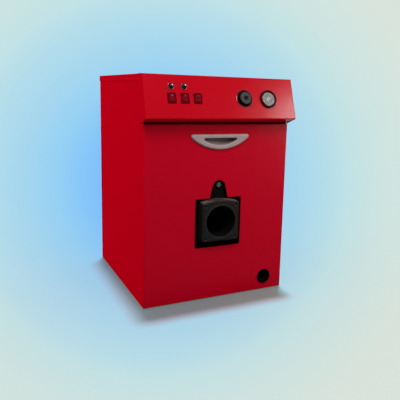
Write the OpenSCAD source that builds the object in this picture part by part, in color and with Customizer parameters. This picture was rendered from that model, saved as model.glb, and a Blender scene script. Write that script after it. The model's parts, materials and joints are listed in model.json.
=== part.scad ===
// Floor standing hot water boiler: a water drum with a burner port in front and a flue behind,
// inside a cabinet of folded steel sheet with a sloping control hood and a pull-off front panel.
// Millimetres. +Z is up and the front faces -Y. The origin is on the floor, in the middle of the
// cabinet's footprint. Inside front(), y = 0 is the outer face of the front panel.

/* [Cabinet] */
// Width over the side panels
cabinet_w = 500; // [450:5:640]
// Depth from the front panel's face to the back panel's face
cabinet_d = 540; // [500:5:700]
// Height to the top of the lid
cabinet_h = 720; // [650:5:900]
// Thickness of the folded steel sheet
sheet = 1.5; // [1:0.1:2]
// Outer radius of each fold
bend_r = 3; // [2.2:0.2:5]
// Height of the panels' lower edges above the floor
floor_gap = 2; // [1.5:0.5:6]
// Width of the flanges folded inwards on the side panels
flange_w = 18; // [12:1:25]
// Height of the base tray's walls
base_wall_h = 28; // [15:1:30]
// Thickness of the base tray
base_t = 2; // [1.5:0.5:3]

/* [Lid] */
// Height of the lid's skirt
lid_skirt = 20; // [14:1:30]
// Play between the lid's skirt and the panels inside it
lid_play = 0.3; // [0.2:0.1:1]

/* [Control hood] */
// Height of the hood, from the lid's top down to its lip
hood_h = 128; // [110:1:160]
// How far the lip stands in front of the front panel
hood_reach = 38; // [20:1:60]
// How far the hood's upper edge lies behind the front panel's face
hood_setback = 3; // [0:1:12]
// How far the hood stands out on each side of the cabinet
hood_side = 5.6; // [3:0.2:12]
// Depth of the hood's top behind the front panel's face
hood_top_d = 42; // [30:1:60]
// Drop from the lip to the back edge of the hood's underside
hood_under_drop = 12; // [6:1:15]
// Depth of each cheek's foot behind the front panel's face
cheek_foot_y = 12; // [6:1:20]

/* [Front panel] */
// From the hood's lip down to the panel's upper edge
hood_gap = 18; // [18:1:30]
// Depth of the returns folded back along its four edges
panel_return = 20; // [14:1:30]
// Gap between the returns and the side panels
panel_seam = 0.8; // [0.4:0.1:0.9]
// Clear space behind the panel's returns
panel_clear = 5; // [5:1:10]

/* [Handle] */
// Width of the half-moon handle
handle_w = 201; // [150:1:240]
// Height of the handle
handle_h = 50; // [40:1:60]
// From the panel's upper edge down to the handle
handle_drop = 32; // [20:1:60]
// How far the handle stands in front of the panel
handle_proud = 6.5; // [4:0.5:10]
// Width of the finger opening
finger_w = 114; // [90:1:140]
// Height of the finger opening
finger_h = 23; // [18:1:30]
// From the handle's upper edge down to the finger opening
finger_drop = 11.5; // [8:0.5:15]
// Depth of the finger cup behind the panel's face
cup_depth = 27; // [20:1:40]
// Wall of the finger cup
cup_wall = 2; // [1.5:0.5:3]

/* [Burner port] */
// Width of the burner casting's face, and twice its height below the port's centre
casting_w = 130; // [124:1:160]
// Height of the casting's upper edge above the port's centre
casting_up = 71; // [68:1:80]
// How far the casting stands in front of the front panel
casting_proud = 22; // [10:1:40]
// Rise of the casting's arched upper edge
casting_arch = 9; // [2:1:12]
// Radius of the casting's rounded edges
casting_round = 7; // [3:1:8]
// Radius of the burner port
port_r = 51; // [40:0.5:62]
// Diameter of the circle of burner screws
screw_circle = 150; // [140:1:155]
// Radius of the holes tapped for the burner screws
screw_r = 3.4; // [2.5:0.1:4]
// Depth of the tapped holes
screw_depth = 20; // [12:1:24]
// Gap between the casting and each side of the front panel's window
window_gap = 16; // [6:1:30]
// Gap between the casting and the window's upper edge
window_gap_top = 3; // [3:0.5:10]
// Gap between the casting and the window's lower edge
window_gap_low = 23; // [6:1:40]
// Height of the window's bell above the window
bell_h = 58; // [50:1:80]
// Width of the bell at its foot
bell_w = 64; // [56:1:80]
// Radius of the bell's top
bell_r = 23; // [20:1:26]
// Radius of the lug bolt's shank
lug_bolt_r = 5; // [4:0.5:6]
// Width of the lug bolt's head across its flats
lug_bolt_af = 17; // [13:1:19]

/* [Cable entry] */
// From the cabinet's right side to the cable entry
entry_from_side = 69.5; // [50:0.5:120]
// Height of the cable entry above the floor
entry_z = 48; // [40:1:80]
// Outer radius of the grommet
grommet_r = 25.5; // [20:0.5:30]
// Radius of the way through the grommet
entry_r = 18; // [12:0.5:20]

/* [Controls] */
// From the cabinet's left side to the first switch
switch_from_side = 79; // [60:1:120]
// Spacing of the switches
switch_pitch = 41.5; // [36:0.5:50]
// Width of a switch frame
switch_w = 27; // [24:1:32]
// Height of a switch frame
switch_l = 32; // [28:1:38]
// Height of the switches above the lip, along the face
switch_v = 62.5; // [50:0.5:75]
// Throw of a rocker, from one end to the other
rocker_throw = 16; // [8:1:20]
// Height of the lamps above the lip, along the face
lamp_v = 98; // [94:0.5:105]
// Outer radius of a lamp's ring
lamp_r = 11; // [8:0.5:13]
// Radius of a lamp's lens
lens_r = 8; // [6:0.5:9]
// Height of the knob and the gauge above the lip, along the face
dial_v = 65; // [55:0.5:75]
// From the cabinet's right side to the gauge
gauge_from_side = 92; // [60:1:130]
// From the gauge to the knob
gauge_to_knob = 87; // [70:1:110]
// Outer radius of the gauge and of the knob's collar
dial_r = 29; // [24:0.5:34]
// Width of the gauge's bezel
bezel_w = 7.5; // [7.5:0.5:12]
// Radius of the knob at its foot
knob_r = 25; // [18:0.5:27]
// Height of the knob
knob_h = 8.5; // [7:0.5:26]
// Radius of the knob's spindle
spindle_r = 3; // [2.5:0.1:4]

/* [Water drum] */
// Thickness of the insulation round the drum
jacket_t = 35; // [20:1:40]
// Air between the insulation and the side panels
jacket_air = 23.5; // [10:0.5:40]
// From the base tray's floor up to the drum
drum_lift = 72; // [50:1:100]
// Wall of the drum
drum_t = 5; // [3:1:8]
// Thickness of the drum's two end plates
end_t = 6; // [4:1:10]
// Width of the water space between the drum and the fire tube
water_gap = 70; // [50:1:90]
// Wall of the fire tube
fire_t = 5; // [3:1:8]
// Thickness of the burner door
door_t = 18; // [12:1:24]
// How far the burner door reaches past the fire tube's inside
door_lap = 40; // [25:1:60]
// Space between the drum and the back panel
drum_back_gap = 88; // [60:1:120]

/* [Rear connections] */
// Outer radius of the flue collar
flue_r = 65; // [50:0.5:75]
// Wall of the flue collar
flue_t = 3; // [2:0.5:4]
// How much the flue collar widens where the flue pipe slides over it
flue_step = 2; // [1:0.5:4]
// Length of the flue collar's wide end
flue_end = 55; // [35:1:80]
// How far the flue collar stands behind the back panel
flue_out = 60; // [40:1:90]
// Outer radius of the flow and return sockets
socket_r = 21; // [19:0.5:26]
// Radius of the holes tapped in the flow and return sockets
socket_bore_r = 15.1; // [12:0.1:17]
// Depth of the tapped holes in all three sockets
socket_depth = 24; // [15:1:30]
// Angle of the flow socket above the level line through the drum's axis, and of the return below it
socket_angle = 45; // [35:1:55]
// How far the sockets stand behind the back panel
socket_out = 30; // [15:1:40]
// Outer radius of the drain socket
drain_r = 14; // [12:0.5:18]
// Radius of the hole tapped in the drain socket
drain_bore_r = 9.3; // [7:0.1:11]
// Gap round each pipe where it passes through the back panel
pipe_gap = 4; // [2:0.5:8]

/* [Hidden] */
$fn = 64;
// Overlap that cuts pass beyond the surface they open
cut = 1;
// Gap where one piece stands in or on another
seat = 0.3;
half_w = cabinet_w / 2;
inner_w = half_w - sheet;
panel_top = cabinet_h - hood_h - hood_gap;
side_top = cabinet_h - sheet - lid_play;
side_front = panel_return + panel_seam;
rail_y = panel_return + panel_clear;
back_in = cabinet_d - sheet;
tray_back = back_in - bend_r;
panel_nose = cheek_foot_y - 4;
tongue_w = 40;
tongue_in = 60;
tongue_y = 6;
// Control hood
lip = [-hood_reach, cabinet_h - hood_h];
brow = [hood_setback, cabinet_h];
hood_back = [hood_top_d, cabinet_h];
hood_under = [2, lip.y - hood_under_drop];
hood_foot = [panel_nose - seat, lip.y - hood_under_drop];
hood_tilt = atan2(brow.x - lip.x, brow.y - lip.y);
hood_half = half_w + hood_side;
cheek_foot = [cheek_foot_y, panel_top];
lid_front = hood_top_d + 0.6;
rail_top = lip.y + 10;
rail_bottom = panel_top - 26;
rail_side_gap = 5.5;
// Handle
handle_top = panel_top - handle_drop;
finger_top = handle_top - finger_drop;
handle_tip_r = 7;
finger_tip_r = 4;
cup_room = cup_wall + seat;
// Drum, door and burner casting
drum_r = inner_w - jacket_air - jacket_t;
port_z = base_t + drum_lift + drum_r;
fire_r = drum_r - drum_t - water_gap - fire_t;
casting_half = casting_w / 2;
casting_shoulder = casting_up - casting_arch;
window_top = port_z + casting_up + window_gap_top;
window_foot = port_z - casting_half - window_gap_low;
window_half = casting_half + window_gap;
casting_back = 8;
flange_back = 28;
door_back = flange_back + door_t;
drum_front = door_back + end_t;
drum_back = cabinet_d - drum_back_gap;
casting_corner_r = 9;
lug_gap = 4;
lug_z = window_top + bell_h - 16;
lug_bolt_head = 7;
washer_t = 1.5;
lug_cover = 25;
door_half_w = fire_r + door_lap;
door_half_h = max(door_half_w, lug_z - port_z + lug_cover);
door_bolt_in = 22;
door_corner_r = 20;
door_bolt_r = 5;
tap_step = 1.6;
socket_ring = fire_r + fire_t + water_gap / 2;
socket_x = socket_ring * cos(socket_angle);
socket_dz = socket_ring * sin(socket_angle);
drain_dz = socket_ring;
saddle_t = 30;
saddle_in = 48;
saddle_w = 260;
saddle_land = 8;
saddle_top = port_z - sqrt(pow(drum_r + seat, 2) - pow(saddle_w / 2 - saddle_land, 2));
// Controls
switch_x = [for (i = [0:2]) switch_from_side - half_w + i * switch_pitch];
gauge_x = half_w - gauge_from_side;
knob_x = gauge_x - gauge_to_knob;
switch_frame_t = 2.2;
switch_wall = 1.6;
switch_rim = 2;
switch_depth = 20;
switch_box_w = switch_w - 2 * switch_rim;
switch_box_l = switch_l - 2 * switch_rim;
rocker_play = 0.5;
rocker_pivot = -2.5;
rocker_pin_r = 1.2;
rocker_pin_in = 0.8;
pin_play = 0.05;
rocker_half = switch_box_w / 2 - switch_wall - rocker_play;
rocker_r = switch_box_l / 2 - switch_wall - rocker_play;
lamp_body_r = 7;
lamp_body_l = 24;
hole_l = 20;
lamp_ring_h = 3;
lens_rise = 4.5;
bezel_h = 7;
gauge_body_r = dial_r - 3;
gauge_body_l = 22;
dial_open_r = dial_r - bezel_w;
dial_level = 2.5;
dial_t = 1;
glass_level = 5;
glass_t = 1;
collar_t = 2.5;
knob_gap = 1;
spindle_play = 0.05;
bush_r = 6;
bush_l = 8;
thermostat_body_r = 17;
thermostat_body_l = 28;
spindle_l = 20;
// Cable entry
entry_x = half_w - entry_from_side;
grommet_flange_t = 2.5;
grommet_neck_r = (grommet_r + entry_r) / 2 + 1;
grommet_neck_l = 8;

// ---- Paths and sections -----------------------------------------------------------------

function unit(v) = v / norm(v);
function left_of(v) = [-v.y, v.x];

// Points on an arc about c, from angle a to angle b
function arc(c, r, a, b, steps = 8) =
    [for (i = [0:steps]) c + r * [cos(a + (b - a) * i / steps), sin(a + (b - a) * i / steps)]];

// The arc of radius r that replaces the corner b of the path a-b-c
function bend(a, b, c, r) =
    let (u = unit(a - b))
    let (v = unit(c - b))
    let (half = acos(u * v) / 2)
    let (centre = b + unit(u + v) * r / sin(half))
    let (from = b + u * r / tan(half) - centre)
    let (to = b + v * r / tan(half) - centre)
    let (start = atan2(from.y, from.x))
    let (turn = ((atan2(to.y, to.x) - start + 540) % 360) - 180)
    arc(centre, r, start, start + turn, 5);

// An open path with its corners bent to radius r
function bent(path, r) = concat(
    [path[0]],
    [for (i = [1:len(path) - 2]) each bend(path[i - 1], path[i], path[i + 1], r)],
    [path[len(path) - 1]]);

// The same path moved t to its left
function shifted(path, t) =
    let (last = len(path) - 1)
    [for (i = [0:last])
        let (before = unit(path[max(i, 1)] - path[max(i, 1) - 1]))
        let (after = unit(path[min(i, last - 1) + 1] - path[min(i, last - 1)]))
        let (mitre = unit(left_of(before) + left_of(after)))
        path[i] + mitre * t / (mitre * left_of(before))];

function reversed(path) = [for (i = [len(path) - 1:-1:0]) path[i]];

// Section of a sheet folded along a path, with its thickness to the path's left
module folded(path, t = sheet, r = bend_r) {
    outer = bent(path, r);
    polygon(concat(outer, reversed(shifted(outer, t))));
}

// Rectangle with rounded corners, centred on the origin
module rounded_rect(w, h, r) {
    polygon(concat(
        arc([w / 2 - r, h / 2 - r], r, 0, 90),
        arc([r - w / 2, h / 2 - r], r, 90, 180),
        arc([r - w / 2, r - h / 2], r, 180, 270),
        arc([w / 2 - r, r - h / 2], r, 270, 360)));
}

// Half-moon with a straight upper edge on y = 0, hanging to y = -h, with round tips
module half_moon(w, h, tip_r) {
    a = w / 2 - tip_r;
    big_r = (a * a / (h - 2 * tip_r) + h) / 2;
    centre = [0, big_r - h];
    spread = atan2(a, centre.y + tip_r);
    polygon(concat(
        arc([a, -tip_r], tip_r, spread - 90, 90),
        arc([-a, -tip_r], tip_r, 90, 270 - spread),
        arc(centre, big_r, 270 - spread, 270 + spread, 24)));
}

// Bell that stands on y = 0, of height h, with its top rounded to radius r
module bell(w, h, r) {
    centre = [0, h - r];
    foot = [w / 2, 0];
    lean = atan2(centre.y, w / 2) - acos(r / norm(foot - centre));
    polygon(concat([-foot, [-w / 2, -cut], [w / 2, -cut], foot], arc(centre, r, -lean, 180 + lean, 16)));
}

// ---- Placing ----------------------------------------------------------------------------

// Moves the children so that y = 0 is the front panel's face
module front() {
    translate([0, -cabinet_d / 2, 0]) children();
}

// Extrudes a section drawn in X and Z from y = a to y = b
module along_y(a, b) {
    translate([0, b, 0]) rotate([90, 0, 0]) linear_extrude(b - a) children();
}

// Extrudes a section drawn in Y and Z from x = a to x = b
module along_x(a, b) {
    translate([a, 0, 0]) rotate([90, 0, 90]) linear_extrude(b - a) children();
}

module rod_y(r, a, b) {
    translate([0, b, 0]) rotate([90, 0, 0]) cylinder(h = b - a, r = r);
}

module block(low, high) {
    translate(low) cube(high - low);
}

// Puts the children on the hood's face: x across, y up the face, z out of it, from the lip
module on_face(x, v) {
    front() translate([x, lip.x, lip.y]) rotate([90 - hood_tilt, 0, 0]) translate([0, v, 0]) children();
}

// Runs the children once as they are and once mirrored to the other side
module both_sides() {
    children();
    mirror([1, 0, 0]) children();
}

// ---- Cabinet ----------------------------------------------------------------------------

module base_tray() {
    color("dimgray") front() {
        difference() {
            block([-inner_w, rail_y, 0], [inner_w, tray_back, base_wall_h]);
            block([base_t - inner_w, rail_y + base_t, base_t],
                  [inner_w - base_t, tray_back - base_t, base_wall_h + cut]);
        }
        // Tongues that carry the front panel's lower return
        both_sides() block([half_w - tongue_in - tongue_w, tongue_y, 0],
                           [half_w - tongue_in, rail_y, floor_gap - seat]);
    }
}

// The right-hand panel: a sheet with a flange folded inwards along its front and its back
module side_panel() {
    front() {
        translate([0, 0, floor_gap]) linear_extrude(panel_top - floor_gap) folded([
            [half_w - flange_w, side_front],
            [half_w, side_front],
            [half_w, back_in],
            [half_w - flange_w, back_in]]);
        translate([0, 0, panel_top]) linear_extrude(side_top - panel_top) folded([
            [half_w, panel_nose],
            [half_w, back_in],
            [half_w - flange_w, back_in]]);
    }
}

module left_side_panel() {
    color("crimson") mirror([1, 0, 0]) side_panel();
}

module right_side_panel() {
    color("crimson") side_panel();
}

// Outline of the holes that the pipes need in the back panel
module pipe_holes(a, b) {
    translate([0, 0, port_z]) {
        rod_y(flue_r + pipe_gap, a, b);
        translate([-socket_x, 0, socket_dz]) rod_y(socket_r + pipe_gap, a, b);
        translate([socket_x, 0, -socket_dz]) rod_y(socket_r + pipe_gap, a, b);
        translate([0, 0, -drain_dz]) rod_y(drain_r + pipe_gap, a, b);
    }
}

module back_panel() {
    color("crimson") front() difference() {
        block([-half_w, back_in, floor_gap], [half_w, cabinet_d, side_top]);
        pipe_holes(back_in - cut, cabinet_d + cut);
    }
}

// A sheet cap with rounded upper edges: a skirt at the sides and back, and a short flange in front
module top_lid() {
    lid_half = half_w + lid_play + sheet;
    lid_back = cabinet_d + lid_play + sheet;
    skirt_foot = cabinet_h - lid_skirt;
    color("crimson") front() difference() {
        intersection() {
            along_y(lid_front, lid_back) polygon(concat(
                [[-lid_half, skirt_foot], [lid_half, skirt_foot]],
                arc([lid_half - bend_r, cabinet_h - bend_r], bend_r, 0, 90, 5),
                arc([bend_r - lid_half, cabinet_h - bend_r], bend_r, 90, 180, 5)));
            along_x(-lid_half, lid_half) polygon(concat(
                [[lid_front, skirt_foot], [lid_back, skirt_foot]],
                arc([lid_back - bend_r, cabinet_h - bend_r], bend_r, 0, 90, 5),
                [[lid_front, cabinet_h]]));
        }
        block([sheet - lid_half, lid_front + sheet, skirt_foot - cut],
              [lid_half - sheet, lid_back - sheet, cabinet_h - sheet]);
        // The front flange ends inside the side panels
        both_sides() block([inner_w - cut, lid_front - cut, skirt_foot - cut],
                           [half_w + lid_play, lid_front + sheet + cut, cabinet_h - sheet]);
    }
}

// Cross rail behind the shadow gap: it ties the side panels and carries the hood
module front_rail() {
    color("firebrick") front() {
        along_x(-inner_w, inner_w) folded([
            [rail_y + 30, rail_top],
            [rail_y, rail_top],
            [rail_y, panel_top + panel_clear]]);
        block([rail_side_gap - inner_w, rail_y, rail_bottom],
              [inner_w - rail_side_gap, rail_y + sheet, panel_top + panel_clear]);
    }
}

// ---- Control hood -----------------------------------------------------------------------

module control_hood() {
    color("red") difference() {
        front() along_x(sheet - hood_half, hood_half - sheet)
            folded([hood_back, brow, lip, hood_under, hood_foot]);
        for (x = switch_x) on_face(x, switch_v)
            cube([switch_box_w + 2 * seat, switch_box_l + 2 * seat, hole_l], center = true);
        for (i = [0:1]) on_face(switch_x[i], lamp_v)
            cylinder(h = hole_l, r = lamp_body_r + seat, center = true);
        on_face(knob_x, dial_v) cylinder(h = hole_l, r = bush_r + seat, center = true);
        on_face(gauge_x, dial_v) cylinder(h = hole_l, r = gauge_body_r + seat, center = true);
    }
}

// The right-hand cheek: a plate closing the hood's end, with the pad that fixes it to the cabinet
module hood_cheek() {
    front() {
        along_x(hood_half - sheet, hood_half) polygon([hood_back, brow, lip, cheek_foot]);
        along_x(half_w, hood_half - sheet) polygon([
            [cheek_foot_y + 2, cabinet_h - 30],
            [cheek_foot_y + 2, lip.y + 20],
            [cheek_foot_y + 5, lip.y + 20],
            [cheek_foot_y + 16, cabinet_h - 30]]);
    }
}

module left_hood_cheek() {
    color("red") mirror([1, 0, 0]) hood_cheek();
}

module right_hood_cheek() {
    color("red") hood_cheek();
}

// ---- Water drum -------------------------------------------------------------------------

module tube_y(r, wall, a, b) {
    difference() {
        rod_y(r, a, b);
        rod_y(r - wall, a - cut, b + cut);
    }
}

module water_drum() {
    color("slategray") front() translate([0, 0, port_z]) tube_y(drum_r, drum_t, drum_front, drum_back);
}

module drum_front_plate() {
    color("slategray") front() translate([0, 0, port_z])
        tube_y(drum_r, drum_r - fire_r, door_back, drum_front);
}

module drum_rear_plate() {
    color("slategray") front() translate([0, 0, port_z]) difference() {
        tube_y(drum_r, drum_r - flue_r + flue_t, drum_back, drum_back + end_t);
        translate([-socket_x, 0, socket_dz]) rod_y(socket_bore_r - tap_step, drum_back - cut, cabinet_d);
        translate([socket_x, 0, -socket_dz]) rod_y(socket_bore_r - tap_step, drum_back - cut, cabinet_d);
        translate([0, 0, -drain_dz]) rod_y(drain_bore_r - tap_step, drum_back - cut, cabinet_d);
    }
}

module fire_tube() {
    color("darkslategray") front() translate([0, 0, port_z])
        tube_y(fire_r + fire_t, fire_t, drum_front, drum_back);
}

// A saddle that stands in the tray and holds the drum
module saddle(y) {
    front() difference() {
        block([-saddle_w / 2, y, base_t], [saddle_w / 2, y + saddle_t, saddle_top]);
        translate([0, 0, port_z]) rod_y(drum_r + seat, y - cut, y + saddle_t + cut);
    }
}

module front_saddle() {
    color("dimgray") saddle(drum_front + saddle_in);
}

module rear_saddle() {
    color("dimgray") saddle(drum_back - saddle_in - saddle_t);
}

module insulation_jacket() {
    color("khaki") front() translate([0, 0, port_z]) tube_y(
        drum_r + jacket_t, jacket_t - seat,
        drum_front + saddle_in + saddle_t + seat, drum_back - saddle_in - saddle_t - seat);
}

// ---- Burner door and casting ------------------------------------------------------------

module door_bolt_places() {
    x_out = door_half_w - door_bolt_in;
    z_out = door_half_h - door_bolt_in;
    for (x = [-x_out, x_out], z = [-z_out, z_out]) translate([x, 0, port_z + z]) children();
}

module burner_door() {
    color("black") front() difference() {
        along_y(flange_back, door_back) translate([0, port_z])
            rounded_rect(2 * door_half_w, 2 * door_half_h, door_corner_r);
        translate([0, 0, port_z]) rod_y(port_r, flange_back - cut, door_back + cut);
        translate([0, 0, lug_z]) rod_y(lug_bolt_r + seat, flange_back - cut, door_back + cut);
        door_bolt_places() rod_y(door_bolt_r + seat, flange_back - cut, door_back + cut);
    }
}

// Hexagon bolt along Y, with its head towards the front and its shank ending at y = tip
module hex_bolt(af, head, shank_r, under_head, tip) {
    translate([0, under_head, 0]) rotate([90, 0, 0]) {
        cylinder(h = head, r = af / 2 / cos(30), $fn = 6);
        translate([0, 0, under_head - tip]) cylinder(h = tip - under_head, r = shank_r);
    }
}

module burner_door_bolts() {
    color("gray") front() door_bolt_places() hex_bolt(16, 7, door_bolt_r, flange_back, door_back);
}

// Outline of the casting: a square with round corners and an arched upper edge
module casting_outline() {
    height = casting_half + casting_up;
    rise_r = (casting_half * casting_half + casting_arch * casting_arch) / (2 * casting_arch);
    intersection() {
        translate([0, (casting_up - casting_half) / 2]) rounded_rect(casting_w, height, casting_corner_r);
        translate([0, casting_up - rise_r]) circle(r = rise_r, $fn = 180);
    }
}

// The plate behind the casting, with a lug that rises in the window's bell
module burner_flange() {
    lug_foot = casting_shoulder - 6;
    lug_h = window_top + bell_h - lug_gap - port_z - lug_foot;
    color("black") front() translate([0, 0, port_z]) difference() {
        along_y(casting_back, flange_back) {
            casting_outline();
            translate([0, lug_foot]) bell(bell_w - 2 * lug_gap, lug_h, bell_r - lug_gap);
        }
        rod_y(port_r, casting_back - cut, flange_back + cut);
        translate([0, 0, lug_z - port_z]) rod_y(lug_bolt_r + seat, casting_back - cut, flange_back + cut);
    }
}

// The casting that takes the burner, with its front edges rounded
module burner_casting() {
    rim_side = bent([
        [casting_back, -casting_half],
        [-casting_proud, -casting_half],
        [-casting_proud, casting_up],
        [casting_back, casting_up]], casting_round);
    rim_plan = bent([
        [casting_half, casting_back],
        [casting_half, -casting_proud],
        [-casting_half, -casting_proud],
        [-casting_half, casting_back]], casting_round);
    color("dimgray") front() translate([0, 0, port_z]) difference() {
        intersection() {
            along_y(-casting_proud, casting_back) casting_outline();
            along_x(-casting_half, casting_half) polygon(rim_side);
            translate([0, 0, -casting_half]) linear_extrude(casting_half + casting_up) polygon(rim_plan);
        }
        rod_y(port_r, -casting_proud - cut, casting_back + cut);
        for (a = [45:90:315]) rotate([0, a, 0]) translate([screw_circle / 2, 0, 0])
            rod_y(screw_r, -casting_proud - cut, screw_depth - casting_proud);
    }
}

module lug_bolt() {
    color("silver") front() translate([0, 0, lug_z]) {
        hex_bolt(lug_bolt_af, lug_bolt_head - washer_t, lug_bolt_r, casting_back - washer_t, door_back);
        rod_y(lug_bolt_af / 2 + 2, casting_back - washer_t, casting_back);
    }
}

// ---- Rear connections -------------------------------------------------------------------

// The collar widens behind the back panel, where the flue pipe slides over it
module flue_collar() {
    far = cabinet_d + flue_out;
    color("gray") front() translate([0, 0, port_z]) difference() {
        union() {
            rod_y(flue_r - flue_step, drum_back + end_t, far);
            rod_y(flue_r, far - flue_end, far);
        }
        rod_y(flue_r - flue_t, drum_back, far + cut);
    }
}

// A socket tapped at its mouth, with a narrower way from there to the drum
module socket(r, bore_r) {
    mouth = cabinet_d + socket_out;
    difference() {
        rod_y(r, drum_back + end_t, mouth);
        rod_y(bore_r, mouth - socket_depth, mouth + cut);
        rod_y(bore_r - tap_step, drum_back, mouth);
    }
}

module flow_socket() {
    color("gray") front() translate([-socket_x, 0, port_z + socket_dz]) socket(socket_r, socket_bore_r);
}

module return_socket() {
    color("gray") front() translate([socket_x, 0, port_z - socket_dz]) socket(socket_r, socket_bore_r);
}

module drain_socket() {
    color("gray") front() translate([0, 0, port_z - drain_dz]) socket(drain_r, drain_bore_r);
}

// ---- Lamps and switches -----------------------------------------------------------------

// A raised ring on the face, with the lamp's body behind it
module lamp_ring(x) {
    on_face(x, lamp_v) rotate_extrude() polygon([
        [0, -lamp_body_l],
        [lamp_body_r, -lamp_body_l],
        [lamp_body_r, 0],
        [lamp_r, 0],
        [lamp_r, lamp_ring_h - 1],
        [lamp_r - 1, lamp_ring_h],
        [lens_r, lamp_ring_h],
        [lens_r, lamp_ring_h - 1],
        [0, lamp_ring_h - 1]]);
}

// A domed lens that stands in the ring
module lamp_lens(x) {
    dome_r = (lens_r * lens_r + lens_rise * lens_rise) / (2 * lens_rise);
    rim = asin(lens_r / dome_r);
    on_face(x, lamp_v) translate([0, 0, lamp_ring_h]) rotate_extrude() polygon(concat(
        [[0, -1], [lens_r, -1]],
        arc([0, lens_rise - dome_r], dome_r, 90 - rim, 90, 12)));
}

module left_lamp_ring() {
    color("silver") lamp_ring(switch_x[0]);
}

module left_lamp_lens() {
    color("black") lamp_lens(switch_x[0]);
}

module right_lamp_ring() {
    color("silver") lamp_ring(switch_x[1]);
}

module right_lamp_lens() {
    color("black") lamp_lens(switch_x[1]);
}

// A frame on the face and the open box behind it, with holes for the rocker's two pins
module switch_frame(i) {
    color("maroon") on_face(switch_x[i], switch_v) difference() {
        union() {
            linear_extrude(switch_frame_t) rounded_rect(switch_w, switch_l, 2);
            translate([-switch_box_w / 2, -switch_box_l / 2, -switch_depth])
                cube([switch_box_w, switch_box_l, switch_depth]);
        }
        translate([-switch_box_w / 2, -switch_box_l / 2, -switch_depth] + switch_wall * [1, 1, 1])
            cube([switch_box_w - 2 * switch_wall, switch_box_l - 2 * switch_wall, 2 * switch_depth]);
        translate([0, 0, rocker_pivot]) rotate([0, 90, 0])
            cylinder(h = switch_box_w + 2 * cut, r = rocker_pin_r + pin_play, center = true);
    }
}

// A rocker with a hollowed top, pushed in at its lower end
module switch_rocker(i) {
    slope = rocker_throw / 2;
    dip = 5;
    rise = rocker_r * tan(slope);
    color("darkred") on_face(switch_x[i], switch_v) translate([0, 0, rocker_pivot]) rotate([slope, 0, 0]) {
        intersection() {
            rotate([90, 0, 90]) linear_extrude(2 * rocker_half, center = true) polygon([
                [-rocker_r, -6],
                [rocker_r, -6],
                [rocker_r, dip + rise],
                [0, dip],
                [-rocker_r, dip + rise]]);
            rotate([0, 90, 0]) cylinder(h = 2 * rocker_half + cut, r = rocker_r, center = true);
        }
        rotate([0, 90, 0]) cylinder(h = switch_box_w - rocker_pin_in, r = rocker_pin_r, center = true);
    }
}

module switch_1_frame() {
    switch_frame(0);
}

module switch_2_frame() {
    switch_frame(1);
}

module switch_3_frame() {
    switch_frame(2);
}

module switch_1_rocker() {
    switch_rocker(0);
}

module switch_2_rocker() {
    switch_rocker(1);
}

module switch_3_rocker() {
    switch_rocker(2);
}

// ---- Thermostat and gauge ---------------------------------------------------------------

// The fixed half: a collar on the face, the bush through it and the regulator behind
module thermostat() {
    color("silver") on_face(knob_x, dial_v) difference() {
        union() {
            cylinder(h = collar_t, r = dial_r);
            translate([0, 0, -bush_l]) cylinder(h = bush_l, r = bush_r);
            translate([0, 0, -bush_l - thermostat_body_l])
                cylinder(h = thermostat_body_l, r = thermostat_body_r);
        }
        translate([0, 0, -bush_l - thermostat_body_l / 2]) cylinder(h = 100, r = spindle_r + spindle_play);
    }
}

module thermostat_knob() {
    color("black") on_face(knob_x, dial_v) {
        translate([0, 0, collar_t + knob_gap]) rotate_extrude() polygon([
            [0, 0],
            [knob_r, 0],
            [knob_r, 3],
            [knob_r - 2, 4.5],
            [knob_r - 3.5, knob_h - 1.5],
            [knob_r - 5, knob_h],
            [0, knob_h]]);
        translate([0, 0, 1 - spindle_l]) cylinder(h = spindle_l + collar_t + knob_gap, r = spindle_r);
        // Pointer ridge across the knob's face
        translate([-1.5, 0, collar_t + knob_gap + knob_h - cut]) cube([3, knob_r - 6, 1 + cut]);
    }
}

// A cup with a wide bezel, let into the face
module gauge_case() {
    wall = 2;
    color("black") on_face(gauge_x, dial_v) rotate_extrude() polygon([
        [0, -gauge_body_l],
        [gauge_body_r, -gauge_body_l],
        [gauge_body_r, 0],
        [dial_r, 0],
        [dial_r, bezel_h - 2],
        [dial_r - 2, bezel_h],
        [dial_open_r + 1, bezel_h],
        [dial_open_r, bezel_h - 1],
        [dial_open_r, glass_level + glass_t],
        [gauge_body_r - wall, glass_level + glass_t],
        [gauge_body_r - wall, dial_level - dial_t],
        [gauge_body_r - 2 * wall, dial_level - dial_t],
        [gauge_body_r - 2 * wall, wall - gauge_body_l],
        [0, wall - gauge_body_l]]);
}

module gauge_dial() {
    color("lightgray") on_face(gauge_x, dial_v) translate([0, 0, dial_level - dial_t])
        cylinder(h = dial_t, r = gauge_body_r - 2 - seat / 2);
}

module gauge_pointer() {
    color("dimgray") on_face(gauge_x, dial_v) translate([0, 0, dial_level]) {
        cylinder(h = 1.8, r = 2.4);
        rotate(40) translate([-6, 0, 0.8]) linear_extrude(0.6) polygon([
            [0, -1.1],
            [23, -0.3],
            [23, 0.3],
            [0, 1.1]]);
    }
}

module gauge_glass() {
    color("aliceblue", 0.4) on_face(gauge_x, dial_v) translate([0, 0, glass_level])
        cylinder(h = glass_t, r = gauge_body_r - 2 - seat / 2);
}

// ---- Front panel ------------------------------------------------------------------------

// Outline of the panel's body of width w, cut d deeper than its face, with rounded front edges
module panel_body(inset, r) {
    low = floor_gap + inset;
    high = panel_top - inset;
    side = half_w - inset;
    intersection() {
        translate([0, 0, low]) linear_extrude(high - low) polygon(bent([
            [side, panel_return + inset],
            [side, inset],
            [-side, inset],
            [-side, panel_return + inset]], r));
        along_x(-side, side) polygon(bent([
            [panel_return + inset, low],
            [inset, low],
            [inset, high],
            [panel_return + inset, high]], r));
    }
}

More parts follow.
